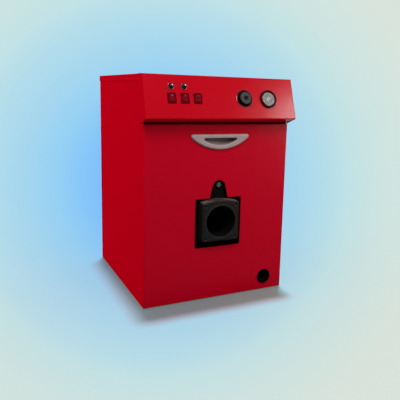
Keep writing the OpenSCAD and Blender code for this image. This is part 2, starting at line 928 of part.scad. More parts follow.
// A tray with returns on its four edges, the burner window, and holes for handle and grommet
module front_panel() {
    color("crimson") front() difference() {
        panel_body(0, bend_r);
        panel_body(sheet, bend_r - sheet);
        along_y(-cut, sheet + cut) {
            translate([0, (window_top + window_foot) / 2])
                rounded_rect(2 * window_half, window_top - window_foot, 4);
            translate([0, window_top]) bell(bell_w, bell_h, bell_r);
        }
        along_y(-cut, sheet + cut) translate([0, finger_top + cup_room])
            half_moon(finger_w + 2 * cup_room, finger_h + 2 * cup_room, finger_tip_r + cup_room);
        translate([entry_x, 0, entry_z]) rod_y(grommet_neck_r + seat, -cut, sheet + cut);
    }
}

// Half-moon rim on the panel's face
module handle_trim() {
    color("darkgray") front() difference() {
        along_y(-handle_proud, 0) translate([0, handle_top]) half_moon(handle_w, handle_h, handle_tip_r);
        along_y(-handle_proud - cut, cut) translate([0, finger_top])
            half_moon(finger_w, finger_h, finger_tip_r);
    }
}

// Shape of the finger cup, grown by a wall: deep at the top and running out at the bottom
module cup_body(wall) {
    top = finger_top + wall;
    bottom = finger_top - finger_h - wall;
    intersection() {
        along_y(-cut, cup_depth + wall) translate([0, top])
            half_moon(finger_w + 2 * wall, finger_h + 2 * wall, finger_tip_r + wall);
        along_x(-finger_w, finger_w) polygon([
            [-cut, bottom],
            [3 + wall, bottom],
            [cup_depth + wall - 2, finger_top - finger_h / 2 - wall],
            [cup_depth + wall - 2, top],
            [-cut, top]]);
    }
}

module handle_cup() {
    color("gray") front() difference() {
        intersection() {
            cup_body(cup_wall);
            block([-finger_w, 0, 0], [finger_w, cabinet_d, cabinet_h]);
        }
        cup_body(0);
    }
}

module cable_grommet() {
    color("black") front() translate([entry_x, 0, entry_z]) rotate([90, 0, 0]) rotate_extrude() polygon([
        [entry_r, -grommet_neck_l],
        [grommet_neck_r, -grommet_neck_l],
        [grommet_neck_r, 0],
        [grommet_r, 0],
        [grommet_r - 1, grommet_flange_t],
        [entry_r + 1.5, grommet_flange_t],
        [entry_r, grommet_flange_t - 1.5]]);
}

// ---- Nodes ------------------------------------------------------------------------------

base_tray();
left_side_panel();
right_side_panel();
back_panel();
top_lid();
front_rail();
control_hood();
left_hood_cheek();
right_hood_cheek();
water_drum();
drum_front_plate();
drum_rear_plate();
fire_tube();
front_saddle();
rear_saddle();
insulation_jacket();
burner_door();
burner_door_bolts();
burner_flange();
burner_casting();
lug_bolt();
flue_collar();
flow_socket();
return_socket();
drain_socket();
left_lamp_ring();
left_lamp_lens();
right_lamp_ring();
right_lamp_lens();
switch_1_frame();
switch_2_frame();
switch_3_frame();
switch_1_rocker();
switch_2_rocker();
switch_3_rocker();
thermostat();
thermostat_knob();
gauge_case();
gauge_dial();
gauge_pointer();
gauge_glass();
front_panel();
handle_trim();
handle_cup();
cable_grommet();
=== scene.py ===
"""Floor standing hot water boiler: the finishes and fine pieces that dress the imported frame."""
import json
import math

import bmesh
import bpy
from mathutils import Matrix, Vector
from mathutils.geometry import closest_point_on_tri


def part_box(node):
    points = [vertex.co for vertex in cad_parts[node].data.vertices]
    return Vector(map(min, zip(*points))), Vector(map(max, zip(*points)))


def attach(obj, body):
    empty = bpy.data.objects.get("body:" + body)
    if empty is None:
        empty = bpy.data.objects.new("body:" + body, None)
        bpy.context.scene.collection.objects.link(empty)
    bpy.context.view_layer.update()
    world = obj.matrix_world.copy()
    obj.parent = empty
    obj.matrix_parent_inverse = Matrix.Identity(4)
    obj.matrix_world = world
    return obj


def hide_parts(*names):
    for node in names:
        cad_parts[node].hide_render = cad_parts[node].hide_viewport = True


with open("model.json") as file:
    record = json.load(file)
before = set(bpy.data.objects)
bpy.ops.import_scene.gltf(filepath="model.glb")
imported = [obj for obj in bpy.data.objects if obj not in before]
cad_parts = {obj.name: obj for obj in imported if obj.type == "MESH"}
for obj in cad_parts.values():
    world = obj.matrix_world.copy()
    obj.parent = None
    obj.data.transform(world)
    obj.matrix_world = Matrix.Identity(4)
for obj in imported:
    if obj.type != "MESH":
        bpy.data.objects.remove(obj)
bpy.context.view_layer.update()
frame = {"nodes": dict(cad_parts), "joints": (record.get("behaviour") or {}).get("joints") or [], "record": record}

NODES = frame["nodes"]
JOINTS = {joint["name"]: joint for joint in frame["joints"]}
FROM_MM = Matrix.Scale(0.001, 4)


# ---- Camera -----------------------------------------------------------------------------

VIEWPOINT = Vector((-0.6992, -1.6783, 0.6739))


def make_camera():
    data = bpy.data.cameras.new("camera")
    data.lens = 45.0
    data.sensor_width = 36.0
    data.shift_x = -0.0628
    data.shift_y = -0.0562
    data.clip_end = 60.0
    camera = bpy.data.objects.new("camera", data)
    yaw, pitch, roll = (math.radians(a) for a in (-27.08, 90 - 9.73, 1.68))
    turn = Matrix.Rotation(yaw, 4, "Z") @ Matrix.Rotation(pitch, 4, "X") @ Matrix.Rotation(roll, 4, "Z")
    camera.matrix_world = Matrix.Translation(VIEWPOINT) @ turn
    bpy.context.scene.collection.objects.link(camera)
    bpy.context.scene.camera = camera


make_camera()


# ---- Places -----------------------------------------------------------------------------

ACROSS = Vector((1, 0, 0))
UP = Vector((0, 0, 1))


def facing(origin, across, up):
    """The place of a piece drawn in millimetres, with x across, y up and z out of a face"""
    turn = Matrix((across, up, across.cross(up))).transposed().to_4x4()
    return Matrix.Translation(origin) @ turn @ FROM_MM


FRONT_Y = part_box("front_panel")[0].y
BACK_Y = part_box("back_panel")[1].y
MOUNTS = {mount["name"]: mount for mount in frame["record"]["mounts"]}
PORT_Z = MOUNTS["burner_port"]["pos_m"][2]


def on_front(x, z):
    return facing(Vector((x, FRONT_Y, z)), ACROSS, UP)


def on_back(x, z):
    return facing(Vector((x, BACK_Y, z)), -ACROSS, UP)


KNOB_SEAT = Vector(JOINTS["thermostat_turn"]["pos_m"])
HOOD_OUT = Vector(JOINTS["thermostat_turn"]["axis"])
HOOD_UP = HOOD_OUT.cross(ACROSS)


def on_hood(x, above_dials=0.0):
    """A place on the hood's face, at x and so far above the knob's and gauge's centres"""
    seat = KNOB_SEAT + ACROSS * (x - KNOB_SEAT.x) + HOOD_UP * above_dials
    return facing(seat, ACROSS, HOOD_UP)


def middle(node):
    low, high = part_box(node)
    return (low + high) / 2


# ---- Modelling --------------------------------------------------------------------------


def spin(bm, geom, centre, degrees, steps, axis=(0, 0, 1), merge=False):
    made = bmesh.ops.spin(
        bm, geom=geom, cent=centre, axis=axis, dvec=(0, 0, 0), angle=math.radians(degrees), steps=steps,
        use_merge=merge, use_normal_flip=False, use_duplicate=False)
    return made["geom_last"]


class Pen:
    """Draws an outline in the xy plane with lines and arcs"""

    def __init__(self, bm, x, y, z=0.0):
        self.bm = bm
        self.z = z
        self.tip = bm.verts.new((x, y, z))
        self.drawn = {self.tip}

    def line(self, x, y):
        self.tip = bmesh.ops.extrude_vert_indiv(self.bm, verts=[self.tip])["verts"][0]
        self.tip.co = (x, y, self.z)
        self.drawn.add(self.tip)

    def arc(self, cx, cy, degrees, steps=6):
        before = set(self.bm.verts)
        last = spin(self.bm, [self.tip], (cx, cy, self.z), degrees, steps)
        self.tip = [v for v in last if isinstance(v, bmesh.types.BMVert)][0]
        self.drawn |= set(self.bm.verts) - before

    def close(self):
        """Joins the two ends, which lie on each other, and returns the outline's edges"""
        bmesh.ops.remove_doubles(self.bm, verts=list(self.drawn), dist=0.01)
        self.drawn = {v for v in self.drawn if v.is_valid}
        return [e for e in self.bm.edges if set(e.verts) <= self.drawn]


def half_moon(bm, w, h, tip_r, top=0.0, z=0.0, steps=(8, 32)):
    """Outline with a straight upper edge, round tips and one big arc below"""
    a = w / 2 - tip_r
    big_r = (a * a / (h - 2 * tip_r) + h) / 2
    spread = math.degrees(math.atan2(a, big_r - h + tip_r))
    pen = Pen(bm, -a, top, z)
    pen.line(a, top)
    pen.arc(a, top - tip_r, spread - 180, steps[0])
    pen.arc(0, top + big_r - h, -2 * spread, steps[1])
    pen.arc(-a, top - tip_r, spread - 180, steps[0])
    return pen.close()


def round_rect(bm, w, h, r, z=0.0, steps=6):
    """Outline of a rectangle with round corners, about the middle"""
    x, y = w / 2 - r, h / 2 - r
    pen = Pen(bm, -x, y + r, z)
    pen.line(x, y + r)
    pen.arc(x, y, -90, steps)
    pen.line(x + r, -y)
    pen.arc(x, -y, -90, steps)
    pen.line(-x, -y - r)
    pen.arc(-x, -y, -90, steps)
    pen.line(-x - r, y)
    pen.arc(-x, y, -90, steps)
    return pen.close()


def circle(bm, r, z=0.0, steps=64, x=0.0, y=0.0):
    made = bmesh.ops.create_circle(
        bm, radius=r, segments=steps, cap_ends=False, matrix=Matrix.Translation((x, y, z)))
    ring = set(made["verts"])
    return [e for e in bm.edges if set(e.verts) <= ring]


def bridge(bm, *loops):
    return bmesh.ops.bridge_loops(bm, edges=[e for loop in loops for e in loop])["faces"]


def pull(bm, edges, z, scale=(1, 1), about=(0, 0)):
    """Extrudes a loop of edges to a new height, scaled about a point, and returns the new loop"""
    made = bmesh.ops.extrude_edge_only(bm, edges=edges)["geom"]
    verts = [v for v in made if isinstance(v, bmesh.types.BMVert)]
    pivot = Matrix.Translation((-about[0], -about[1], 0))
    bmesh.ops.scale(bm, vec=(scale[0], scale[1], 1), space=pivot, verts=verts)
    for v in verts:
        v.co.z = z
    ring = set(verts)
    return [e for e in made if isinstance(e, bmesh.types.BMEdge) and set(e.verts) <= ring]


def fill(bm, edges):
    return bmesh.ops.contextual_create(bm, geom=edges)["faces"]


def lathe(profile, steps=96, bm=None):
    """Turns a profile of (radius, height) corners about z"""
    bm = bm or bmesh.new()
    ring = [bm.verts.new((r, 0, h)) for r, h in profile]
    line = [bm.edges.new(pair) for pair in zip(ring, ring[1:])]
    before = set(bm.verts) - set(ring)
    spin(bm, ring + line, (0, 0, 0), 360, steps, merge=True)
    bmesh.ops.remove_doubles(bm, verts=[v for v in bm.verts if v not in before], dist=1e-4)
    return bm


def bevel(bm, edges, width, segments):
    bmesh.ops.bevel(
        bm, geom=edges, offset=width, offset_type="OFFSET", segments=segments, profile=0.5, affect="EDGES",
        material=-1, clamp_overlap=True)


def soften(bm, width, segments=2, over=30, where=lambda edge: True):
    """Rounds the edges that turn by more than so many degrees"""
    folds = [e for e in bm.edges if len(e.link_faces) == 2 and e.calc_face_angle(0) > math.radians(over)]
    bevel(bm, [e for e in folds if where(e)], width, segments)


def outward(bm):
    bmesh.ops.recalc_face_normals(bm, faces=bm.faces)
    return bm


def block(bm, low, high):
    """A box between two corners"""
    low, high = Vector(low), Vector(high)
    size = high - low
    place = Matrix.Translation((low + high) / 2) @ Matrix.Diagonal((*size, 1))
    return bmesh.ops.create_cube(bm, size=1, matrix=place)["verts"]


def piece(name, bm, place, body, slot, finishes=(), replaces=(), sharp=35):
    """A finished piece: its place goes into its mesh, it rides on a body and, if no other is given, has its
    slot's finish"""
    bm.transform(place)
    mesh = bpy.data.meshes.new(name)
    bm.to_mesh(mesh)
    bm.free()
    for finish in finishes or [FINISH[slot]]:
        mesh.materials.append(finish)
    mesh.shade_smooth()
    mesh.set_sharp_from_angle(angle=math.radians(sharp))
    made = bpy.data.objects.new(name, mesh)
    bpy.context.scene.collection.objects.link(made)
    even = made.modifiers.new("even_shading", "WEIGHTED_NORMAL")
    even.keep_sharp = True
    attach(made, body)
    if replaces:
        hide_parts(*replaces)
    return made


# ---- Shared effects ---------------------------------------------------------------------


def srgb(r, g, b):
    """A colour given as it shows on a screen, from 0 to 255"""
    def linear(c):
        c /= 255
        return c / 12.92 if c <= 0.04045 else ((c + 0.055) / 1.055) ** 2.4
    return (linear(r), linear(g), linear(b), 1.0)


class Tree:
    """Adds and joins the nodes of one node tree"""

    def __init__(self, tree):
        self.tree = tree

    def add(self, kind, inputs=None, **settings):
        node = self.tree.nodes.new(kind)
        for name, value in settings.items():
            setattr(node, name, value)
        for name, value in (inputs or {}).items():
            self.put(node.inputs[name], value)
        return node

    def put(self, socket, value):
        if isinstance(value, bpy.types.NodeSocket):
            self.tree.links.new(value, socket)
        else:
            socket.default_value = value

    def math(self, operation, a, b=0.0, clamp=False):
        node = self.add("ShaderNodeMath", operation=operation, use_clamp=clamp)
        self.put(node.inputs[0], a)
        self.put(node.inputs[1], b)
        return node.outputs[0]

    def mix(self, factor, a, b, blend="MIX"):
        node = self.add("ShaderNodeMix", data_type="RGBA", blend_type=blend)
        self.put(node.inputs[0], factor)
        self.put(node.inputs[6], a)
        self.put(node.inputs[7], b)
        return node.outputs[2]

    def spread(self, value, low, high, to_low=0.0, to_high=1.0):
        """Maps a range of values onto another, clamped"""
        node = self.add("ShaderNodeMapRange", {
            "Value": value, "From Min": low, "From Max": high, "To Min": to_low, "To Max": to_high})
        return node.outputs[0]


def make_group(name, inputs, outputs):
    tree = bpy.data.node_groups.new(name, "ShaderNodeTree")
    for label, kind, value in inputs:
        tree.interface.new_socket(label, in_out="INPUT", socket_type=kind).default_value = value
    for label, kind in outputs:
        tree.interface.new_socket(label, in_out="OUTPUT", socket_type=kind)
    nodes = Tree(tree)
    return nodes, nodes.add("NodeGroupInput").outputs, nodes.add("NodeGroupOutput").inputs


FLOAT, COLOR, VECTOR = "NodeSocketFloat", "NodeSocketColor", "NodeSocketVector"


def make_mottle():
    """Slow drift of a colour over a surface, as sprayed paint and castings have"""
    t, given, out = make_group(
        "mottle",
        [("Color", COLOR, (0.5, 0.5, 0.5, 1)), ("Size", FLOAT, 0.1), ("Depth", FLOAT, 0.1)],
        [("Color", COLOR), ("Mask", FLOAT)])
    place = t.add("ShaderNodeTexCoord").outputs["Object"]
    scale = t.math("DIVIDE", 1.0, given["Size"])
    noise = t.add("ShaderNodeTexNoise", {"Vector": place, "Scale": scale, "Detail": 4.0, "Roughness": 0.55})
    mask = t.spread(noise.outputs[0], 0.3, 0.7)
    darker = t.math("SUBTRACT", 1.0, given["Depth"])
    lighter = t.math("ADD", 1.0, given["Depth"])
    gain = t.add("ShaderNodeMapRange", {"Value": mask, "To Min": darker, "To Max": lighter}).outputs[0]
    tinted = t.add("ShaderNodeVectorMath", {0: given["Color"]}, operation="SCALE")
    t.put(tinted.inputs["Scale"], gain)
    t.put(out["Color"], tinted.outputs[0])
    t.put(out["Mask"], mask)
    return t.tree


def make_skin():
    """Fine relief of a surface: orange peel, moulded grain or the skin left by sand"""
    t, given, out = make_group(
        "skin",
        [("Size", FLOAT, 0.002), ("Depth", FLOAT, 0.0001), ("Strength", FLOAT, 0.3), ("Grit", FLOAT, 0.5)],
        [("Normal", VECTOR), ("Height", FLOAT)])
    place = t.add("ShaderNodeTexCoord").outputs["Object"]
    scale = t.math("DIVIDE", 1.0, given["Size"])
    noise = t.add("ShaderNodeTexNoise", {
        "Vector": place, "Scale": scale, "Detail": 5.0, "Roughness": given["Grit"]})
    bump = t.add("ShaderNodeBump", {
        "Strength": given["Strength"], "Distance": given["Depth"], "Height": noise.outputs[0]})
    t.put(out["Normal"], bump.outputs[0])
    t.put(out["Height"], noise.outputs[0])
    return t.tree


def make_edge_rub():
    """Mask along outer edges, where handling thins a coat"""
    t, given, out = make_group(
        "edge_rub",
        [("Width", FLOAT, 0.0015), ("Amount", FLOAT, 0.5)],
        [("Mask", FLOAT)])
    place = t.add("ShaderNodeTexCoord").outputs["Object"]
    flat = t.add("ShaderNodeNewGeometry").outputs["Normal"]
    round_off = t.add("ShaderNodeBevel", {"Radius": given["Width"]}, samples=4).outputs[0]
    turn = t.add("ShaderNodeVectorMath", {0: flat, 1: round_off}, operation="DOT_PRODUCT").outputs["Value"]
    edge = t.spread(turn, 0.999, 0.93)
    patchy = t.add("ShaderNodeTexNoise", {"Vector": place, "Scale": 60.0, "Detail": 3.0}).outputs[0]
    broken = t.math("MULTIPLY", edge, t.spread(patchy, 0.35, 0.6, 0.35, 1.0))
    t.put(out["Mask"], t.math("MULTIPLY", broken, given["Amount"]))
    return t.tree


def make_dust():
    """Mask of the dust that settles on faces that look up; on the black casting it also serves as a painted
    highlight on the top
    """
    t, given, out = make_group("dust", [("Amount", FLOAT, 0.2)], [("Mask", FLOAT)])
    place = t.add("ShaderNodeTexCoord").outputs["Object"]
    normal = t.add("ShaderNodeNewGeometry").outputs["Normal"]
    up = t.add("ShaderNodeSeparateXYZ", {0: normal}).outputs[2]
    level = t.spread(up, 0.6, 1.0)
    drift = t.add("ShaderNodeTexNoise", {"Vector": place, "Scale": 14.0, "Detail": 6.0, "Roughness": 0.7})
    patch = t.spread(drift.outputs[0], 0.3, 0.75)
    t.put(out["Mask"], t.math("MULTIPLY", t.math("MULTIPLY", level, patch), given["Amount"]))
    return t.tree


BLUE_HEART = Vector((-0.196, FRONT_Y, 0.402))
FADE_SPAN = 35      # degrees from the heart of the blue to the palest tint
FADE = [(0.18, (126, 190, 252)), (0.25, (135, 199, 249)), (0.33, (151, 209, 244)), (0.43, (167, 215, 238)),
        (0.55, (183, 222, 234)), (0.60, (193, 226, 230)), (0.71, (206, 228, 225)), (0.87, (217, 228, 220))]


def make_backdrop_tint():
    """Pale blue round the object that fades outwards, by the direction seen from the viewpoint"""
    t, given, out = make_group("backdrop_tint", [("Direction", VECTOR, (0, 1, 0))], [("Color", COLOR)])
    heart = (BLUE_HEART - VIEWPOINT).normalized()
    unit = t.add("ShaderNodeVectorMath", {0: given["Direction"]}, operation="NORMALIZE").outputs[0]
    near = t.add("ShaderNodeVectorMath", {0: unit, 1: heart}, operation="DOT_PRODUCT").outputs["Value"]
    angle = t.math("DIVIDE", t.math("ARCCOSINE", near), math.radians(FADE_SPAN))
    ramp = t.add("ShaderNodeValToRGB", {0: angle})
    elements = ramp.color_ramp.elements
    while len(elements) < len(FADE):
        elements.new(0.5)
    for element, (at, colour) in zip(elements, FADE):
        element.position = at
        element.color = srgb(*colour)
    t.put(out["Color"], ramp.outputs[0])
    return t.tree


GROUPS = {
    "mottle": make_mottle(), "skin": make_skin(), "edge_rub": make_edge_rub(), "dust": make_dust(),
    "backdrop_tint": make_backdrop_tint(),
}


# ---- Finishes ---------------------------------------------------------------------------


class Finish(Tree):
    """A material that is one Principled surface with the shared effects placed in it"""

    def __init__(self, name, **constants):
        self.material = bpy.data.materials.new(name)
        self.material.use_nodes = True
        super().__init__(self.material.node_tree)
        self.tree.nodes.clear()
        self.surface = self.add("ShaderNodeBsdfPrincipled")
        self.add("ShaderNodeOutputMaterial", {"Surface": self.surface.outputs[0]})
        self.set(**constants)

    def set(self, **values):
        for name, value in values.items():
            self.put(self.surface.inputs[name.replace("_", " ")], value)

    def effect(self, name, **values):
        node = self.add("ShaderNodeGroup", node_tree=GROUPS[name])
        for label, value in values.items():
            self.put(node.inputs[label], value)
        return node.outputs


def enamel(name, gloss, roughness, colour):
    """Red stoving enamel: even colour, faint orange peel, thinner and lighter along the folds"""
    f = Finish(name, Specular_IOR_Level=gloss)
    paint = f.effect("mottle", Color=srgb(*colour), Size=0.35, Depth=0.015)
    rub = f.effect("edge_rub", Width=0.0008, Amount=0.05)
    dust = f.effect("dust", Amount=0.08)
    edged = f.mix(rub["Mask"], paint["Color"], srgb(206, 44, 54))
    f.set(Base_Color=f.mix(dust["Mask"], edged, srgb(190, 120, 116)))
    smear = f.effect("skin", Size=0.09, Depth=0.0, Strength=0.0, Grit=0.6)
    f.set(Roughness=f.spread(smear["Height"], 0.3, 0.7, roughness - 0.04, roughness + 0.05))
    peel = f.effect("skin", Size=0.0022, Depth=0.00002, Strength=0.35, Grit=0.35)
    f.set(Normal=peel["Normal"])
    return f.material


def dark_paint():
    f = Finish("dark_paint", Specular_IOR_Level=0.4)
    paint = f.effect("mottle", Color=srgb(58, 58, 62), Size=0.08, Depth=0.12)
    dust = f.effect("dust", Amount=0.5)
    rub = f.effect("edge_rub", Width=0.0012, Amount=0.5)
    worn = f.mix(rub["Mask"], paint["Color"], srgb(120, 118, 116))
    f.set(Base_Color=f.mix(dust["Mask"], worn, srgb(120, 114, 106)))
    f.set(Roughness=f.spread(paint["Mask"], 0.0, 1.0, 0.42, 0.62))
    f.set(Normal=f.effect("skin", Size=0.003, Depth=0.00004, Strength=0.4, Grit=0.5)["Normal"])
    return f.material


def drum_steel():
    """Rolled steel with mill scale, blued and browned in patches by the weld's heat"""
    f = Finish("drum_steel", Metallic=0.85)
    scale = f.effect("mottle", Color=srgb(104, 104, 108), Size=0.05, Depth=0.25)
    heat = f.effect("mottle", Color=srgb(112, 92, 74), Size=0.16, Depth=0.2)
    stain = f.spread(heat["Mask"], 0.55, 1.0, 0.0, 0.45)
    rub = f.effect("edge_rub", Width=0.001, Amount=0.6)
    colour = f.mix(stain, scale["Color"], heat["Color"])
    f.set(Base_Color=f.mix(rub["Mask"], colour, srgb(176, 174, 170)))
    f.set(Roughness=f.spread(scale["Mask"], 0.0, 1.0, 0.38, 0.62))
    f.set(Normal=f.effect("skin", Size=0.0035, Depth=0.00006, Strength=0.35, Grit=0.65)["Normal"])
    return f.material


def mineral_wool():
    f = Finish("mineral_wool", Specular_IOR_Level=0.1, Roughness=0.95)
    lay = f.effect("mottle", Color=srgb(176, 160, 112), Size=0.012, Depth=0.22)
    fibre = f.effect("skin", Size=0.004, Depth=0.0012, Strength=0.8, Grit=0.8)
    f.set(Base_Color=f.mix(f.spread(fibre["Height"], 0.35, 0.65), lay["Color"], srgb(120, 104, 66)))
    f.set(Normal=fibre["Normal"])
    return f.material


def black_casting():
    """Heat-proof black paint over the skin that the sand leaves on iron"""
    f = Finish("black_casting", Specular_IOR_Level=0.08)
    iron = f.effect("mottle", Color=srgb(20, 18, 18), Size=0.03, Depth=0.18)
    # dust on the faces that look up, at full amount: also a painted highlight for the light the casting's top
    # catches
    dust = f.effect("dust", Amount=1.0)
    rub = f.effect("edge_rub", Width=0.0025, Amount=0.5)
    grit = f.effect("skin", Size=0.0016, Depth=0.00018, Strength=0.7, Grit=0.7)
    speck = f.spread(grit["Height"], 0.62, 0.72, 0.0, 0.25)
    edged = f.mix(rub["Mask"], iron["Color"], srgb(60, 54, 50))
    gritty = f.mix(speck, edged, srgb(40, 37, 35))
    f.set(Base_Color=f.mix(dust["Mask"], gritty, srgb(112, 93, 86)))
    f.set(Roughness=f.spread(iron["Mask"], 0.0, 1.0, 0.5, 0.68))
    f.set(Normal=grit["Normal"])
    return f.material


def soot():
    """The dull black that a burner leaves on what it fires through; on the burner flange, set back in the cut-out,
    it is a painted shade
    """
    f = Finish("soot", Specular_IOR_Level=0.05, Roughness=0.9)
    f.set(Base_Color=f.effect("mottle", Color=srgb(5, 5, 5), Size=0.02, Depth=0.3)["Color"])
    f.set(Normal=f.effect("skin", Size=0.002, Depth=0.0002, Strength=0.6, Grit=0.7)["Normal"])
    return f.material


def zinc_bolts():
    f = Finish("zinc_bolts", Metallic=1.0)
    plate = f.effect("mottle", Color=srgb(86, 76, 71), Size=0.006, Depth=0.10)
    f.set(Base_Color=plate["Color"])
    f.set(Roughness=f.spread(plate["Mask"], 0.0, 1.0, 0.26, 0.44))
    f.set(Normal=f.effect("skin", Size=0.0012, Depth=0.00003, Strength=0.4, Grit=0.5)["Normal"])
    return f.material


def bright_ring(name, colour, roughness):
    f = Finish(name, Metallic=1.0)
    chrome = f.effect("mottle", Color=srgb(*colour), Size=0.01, Depth=0.03)
    f.set(Base_Color=chrome["Color"])
    f.set(Roughness=f.spread(chrome["Mask"], 0.0, 1.0, roughness - 0.04, roughness + 0.06))
    return f.material


def moulded(name, colour, roughness, specular=0.5, grain=0.0006, depth=0.00002, rubbed=None):
    """Moulded plastic or rubber with its fine grain"""
    f = Finish(name, Specular_IOR_Level=specular)
    body = f.effect("mottle", Color=srgb(*colour), Size=0.02, Depth=0.06)
    rub = f.effect("edge_rub", Width=0.0007, Amount=0.4)
    light = rubbed or [min(255, c + 38) for c in colour]
    f.set(Base_Color=f.mix(rub["Mask"], body["Color"], srgb(*light)))
    f.set(Roughness=f.spread(body["Mask"], 0.0, 1.0, roughness - 0.05, roughness + 0.07))
    f.set(Normal=f.effect("skin", Size=grain, Depth=depth, Strength=0.5, Grit=0.5)["Normal"])
    return f.material


def lens_black():
    f = Finish("dark_lens", Specular_IOR_Level=0.1)
    body = f.effect("mottle", Color=srgb(14, 7, 5), Size=0.01, Depth=0.2)
    f.set(Base_Color=body["Color"])
    f.set(Roughness=f.spread(body["Mask"], 0.0, 1.0, 0.14, 0.20))
    return f.material


def clear_glass():
    f = Finish("clear_glass", IOR=1.45, Specular_IOR_Level=0.5, Transmission_Weight=1.0)
    film = f.effect("mottle", Color=(0.98, 0.99, 0.99, 1), Size=0.02, Depth=0.01)
    f.set(Base_Color=film["Color"])
    f.set(Roughness=f.spread(film["Mask"], 0.0, 1.0, 0.0, 0.02))
    return f.material


RED = enamel("red_enamel", 0.05, 0.21, (173, 0, 27))
HOOD_RED = enamel("red_enamel_hood", 0.06, 0.21, (164, 0, 19))
SIDE_RED = enamel("red_enamel_matt", 0.0, 0.5, (173, 0, 20))
FINISH = {
    "red_enamel": SIDE_RED, "dark_paint": dark_paint(), "drum_steel": drum_steel(),
    "mineral_wool": mineral_wool(), "black_casting": black_casting(), "zinc_bolts": zinc_bolts(),
    # the lamp bezels' chrome is tinted pinkish red, a painted reflection of the red hood
    "bright_ring": bright_ring("bright_ring", colour=(142, 66, 76), roughness=0.3), "dark_lens": lens_black(),
    "switch_black": moulded("switch_black", (78, 0, 5), 0.5, specular=0.02, rubbed=(104, 4, 14)),
    "rocker_red": moulded("rocker_red", (106, 0, 22), 0.3, specular=0.04, rubbed=(146, 14, 42)),
    "knob_black": moulded("knob_black", (3, 3, 3), 0.4, specular=0.03, rubbed=(12, 12, 12)),
    "dial_grey": moulded("dial_grey", (158, 146, 144), 0.6, specular=0.1),
    "pointer_dark": moulded("pointer_dark", (30, 30, 32), 0.5),
    "clear_glass": clear_glass(),
    "handle_grey": moulded("handle_grey", (150, 131, 131), 0.42, specular=0.3, grain=0.0009, depth=0.00003,
                           rubbed=(172, 164, 160)),
    "black_rubber": moulded("black_rubber", (2, 2, 2), 0.75, specular=0.03, rubbed=(7, 7, 7)),
}
SOOT_AND_SHADE = soot()
# the bead's chrome is tinted pinkish red: a painted reflection of the red hood
BEAD_RED_REFLECTION = bright_ring("bead_red_reflection", (190, 96, 104), 0.16)
HUB_STEEL = bright_ring("hub_steel", (204, 196, 192), 0.25)
# the cap's edges lighten to a pinkish grey: wear, and a painted highlight along the rim
CAP_GREY = moulded("cap_grey", (46, 40, 42), 0.42, specular=0.12, rubbed=(136, 118, 118))
# dark red collar: a painted shade, the shade on the hood round the knob's foot
COLLAR_SHADE_RED = moulded("collar_shade_red", (78, 4, 12), 0.45, specular=0.06, rubbed=(110, 20, 30))
BEZEL_DARK = moulded("bezel_dark", (46, 6, 12), 0.4, specular=0.06, rubbed=(84, 30, 38))
PRINT_GREY = moulded("print_grey", (66, 62, 63), 0.5, specular=0.1)
MARK_ROSE = moulded("mark_rose", (158, 84, 92), 0.5, specular=0.1)
PRINT_WHITE = moulded("print_white", (238, 232, 228), 0.5, specular=0.2)
PRINT_DARK = moulded("print_dark", (24, 26, 26), 0.6, specular=0.1)
SCOOP_GREY = moulded("scoop_grey", (126, 112, 111), 0.5, specular=0.15, grain=0.0009, depth=0.00003)


# Nodes whose finish isn't their slot's
# the flange's near-black is a painted shade; the fire tube and the drum's front plate have soot
OWN_FINISH = {"control_hood": HOOD_RED, "front_panel": RED, "fire_tube": SOOT_AND_SHADE, "burner_flange": SOOT_AND_SHADE,
              "drum_front_plate": SOOT_AND_SHADE}
FOLD_R = 0.0010
SMALLEST_FOLDED_FACE = 0.0024       # square metres; smaller faces are flanges and the edges of cut-outs


def rounded_folds(node):
    """A carried-over sheet piece with its outer folds rounded as a press brake leaves them"""
    bm = bmesh.new()
    bm.from_mesh(NODES[node].data)
    bmesh.ops.remove_doubles(bm, verts=bm.verts, dist=1e-6)
    bmesh.ops.dissolve_limit(bm, angle_limit=math.radians(1), verts=bm.verts, edges=bm.edges, delimit=set())
    folds = [
        e for e in bm.edges
        if len(e.link_faces) == 2 and e.calc_face_angle_signed(0) > math.radians(20)
        and min(face.calc_area() for face in e.link_faces) > SMALLEST_FOLDED_FACE]
    bevel(bm, folds, FOLD_R, 3)
    for face in bm.faces:       # the faces that look sideways are matt
        face.material_index = int(abs(face.normal.x) > 0.5)
    body = "front_panel" if node == "front_panel" else "cabinet"
    finishes = [OWN_FINISH.get(node, SIDE_RED), SIDE_RED]
    piece(f"{node}_folded", bm, Matrix.Identity(4), body, "red_enamel", finishes, [node])


def finish_nodes():
    """Gives every carried-over node the finish of its slot"""
    for part in frame["record"]["subparts"]:
        node = NODES[part["node"]]
        material = OWN_FINISH.get(part["node"], FINISH[part["material_slot"]])
        for place in node.material_slots:
            place.material = material


finish_nodes()


# ---- Handle -----------------------------------------------------------------------------

HANDLE_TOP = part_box("handle_trim")[1].z
HANDLE_W, HANDLE_H, HANDLE_TIP, HANDLE_PROUD = 201.0, 48.4, 7.0, 6.5
FINGER_W, FINGER_H, FINGER_TIP, FINGER_DROP = 114.0, 23.0, 4.0, 11.5


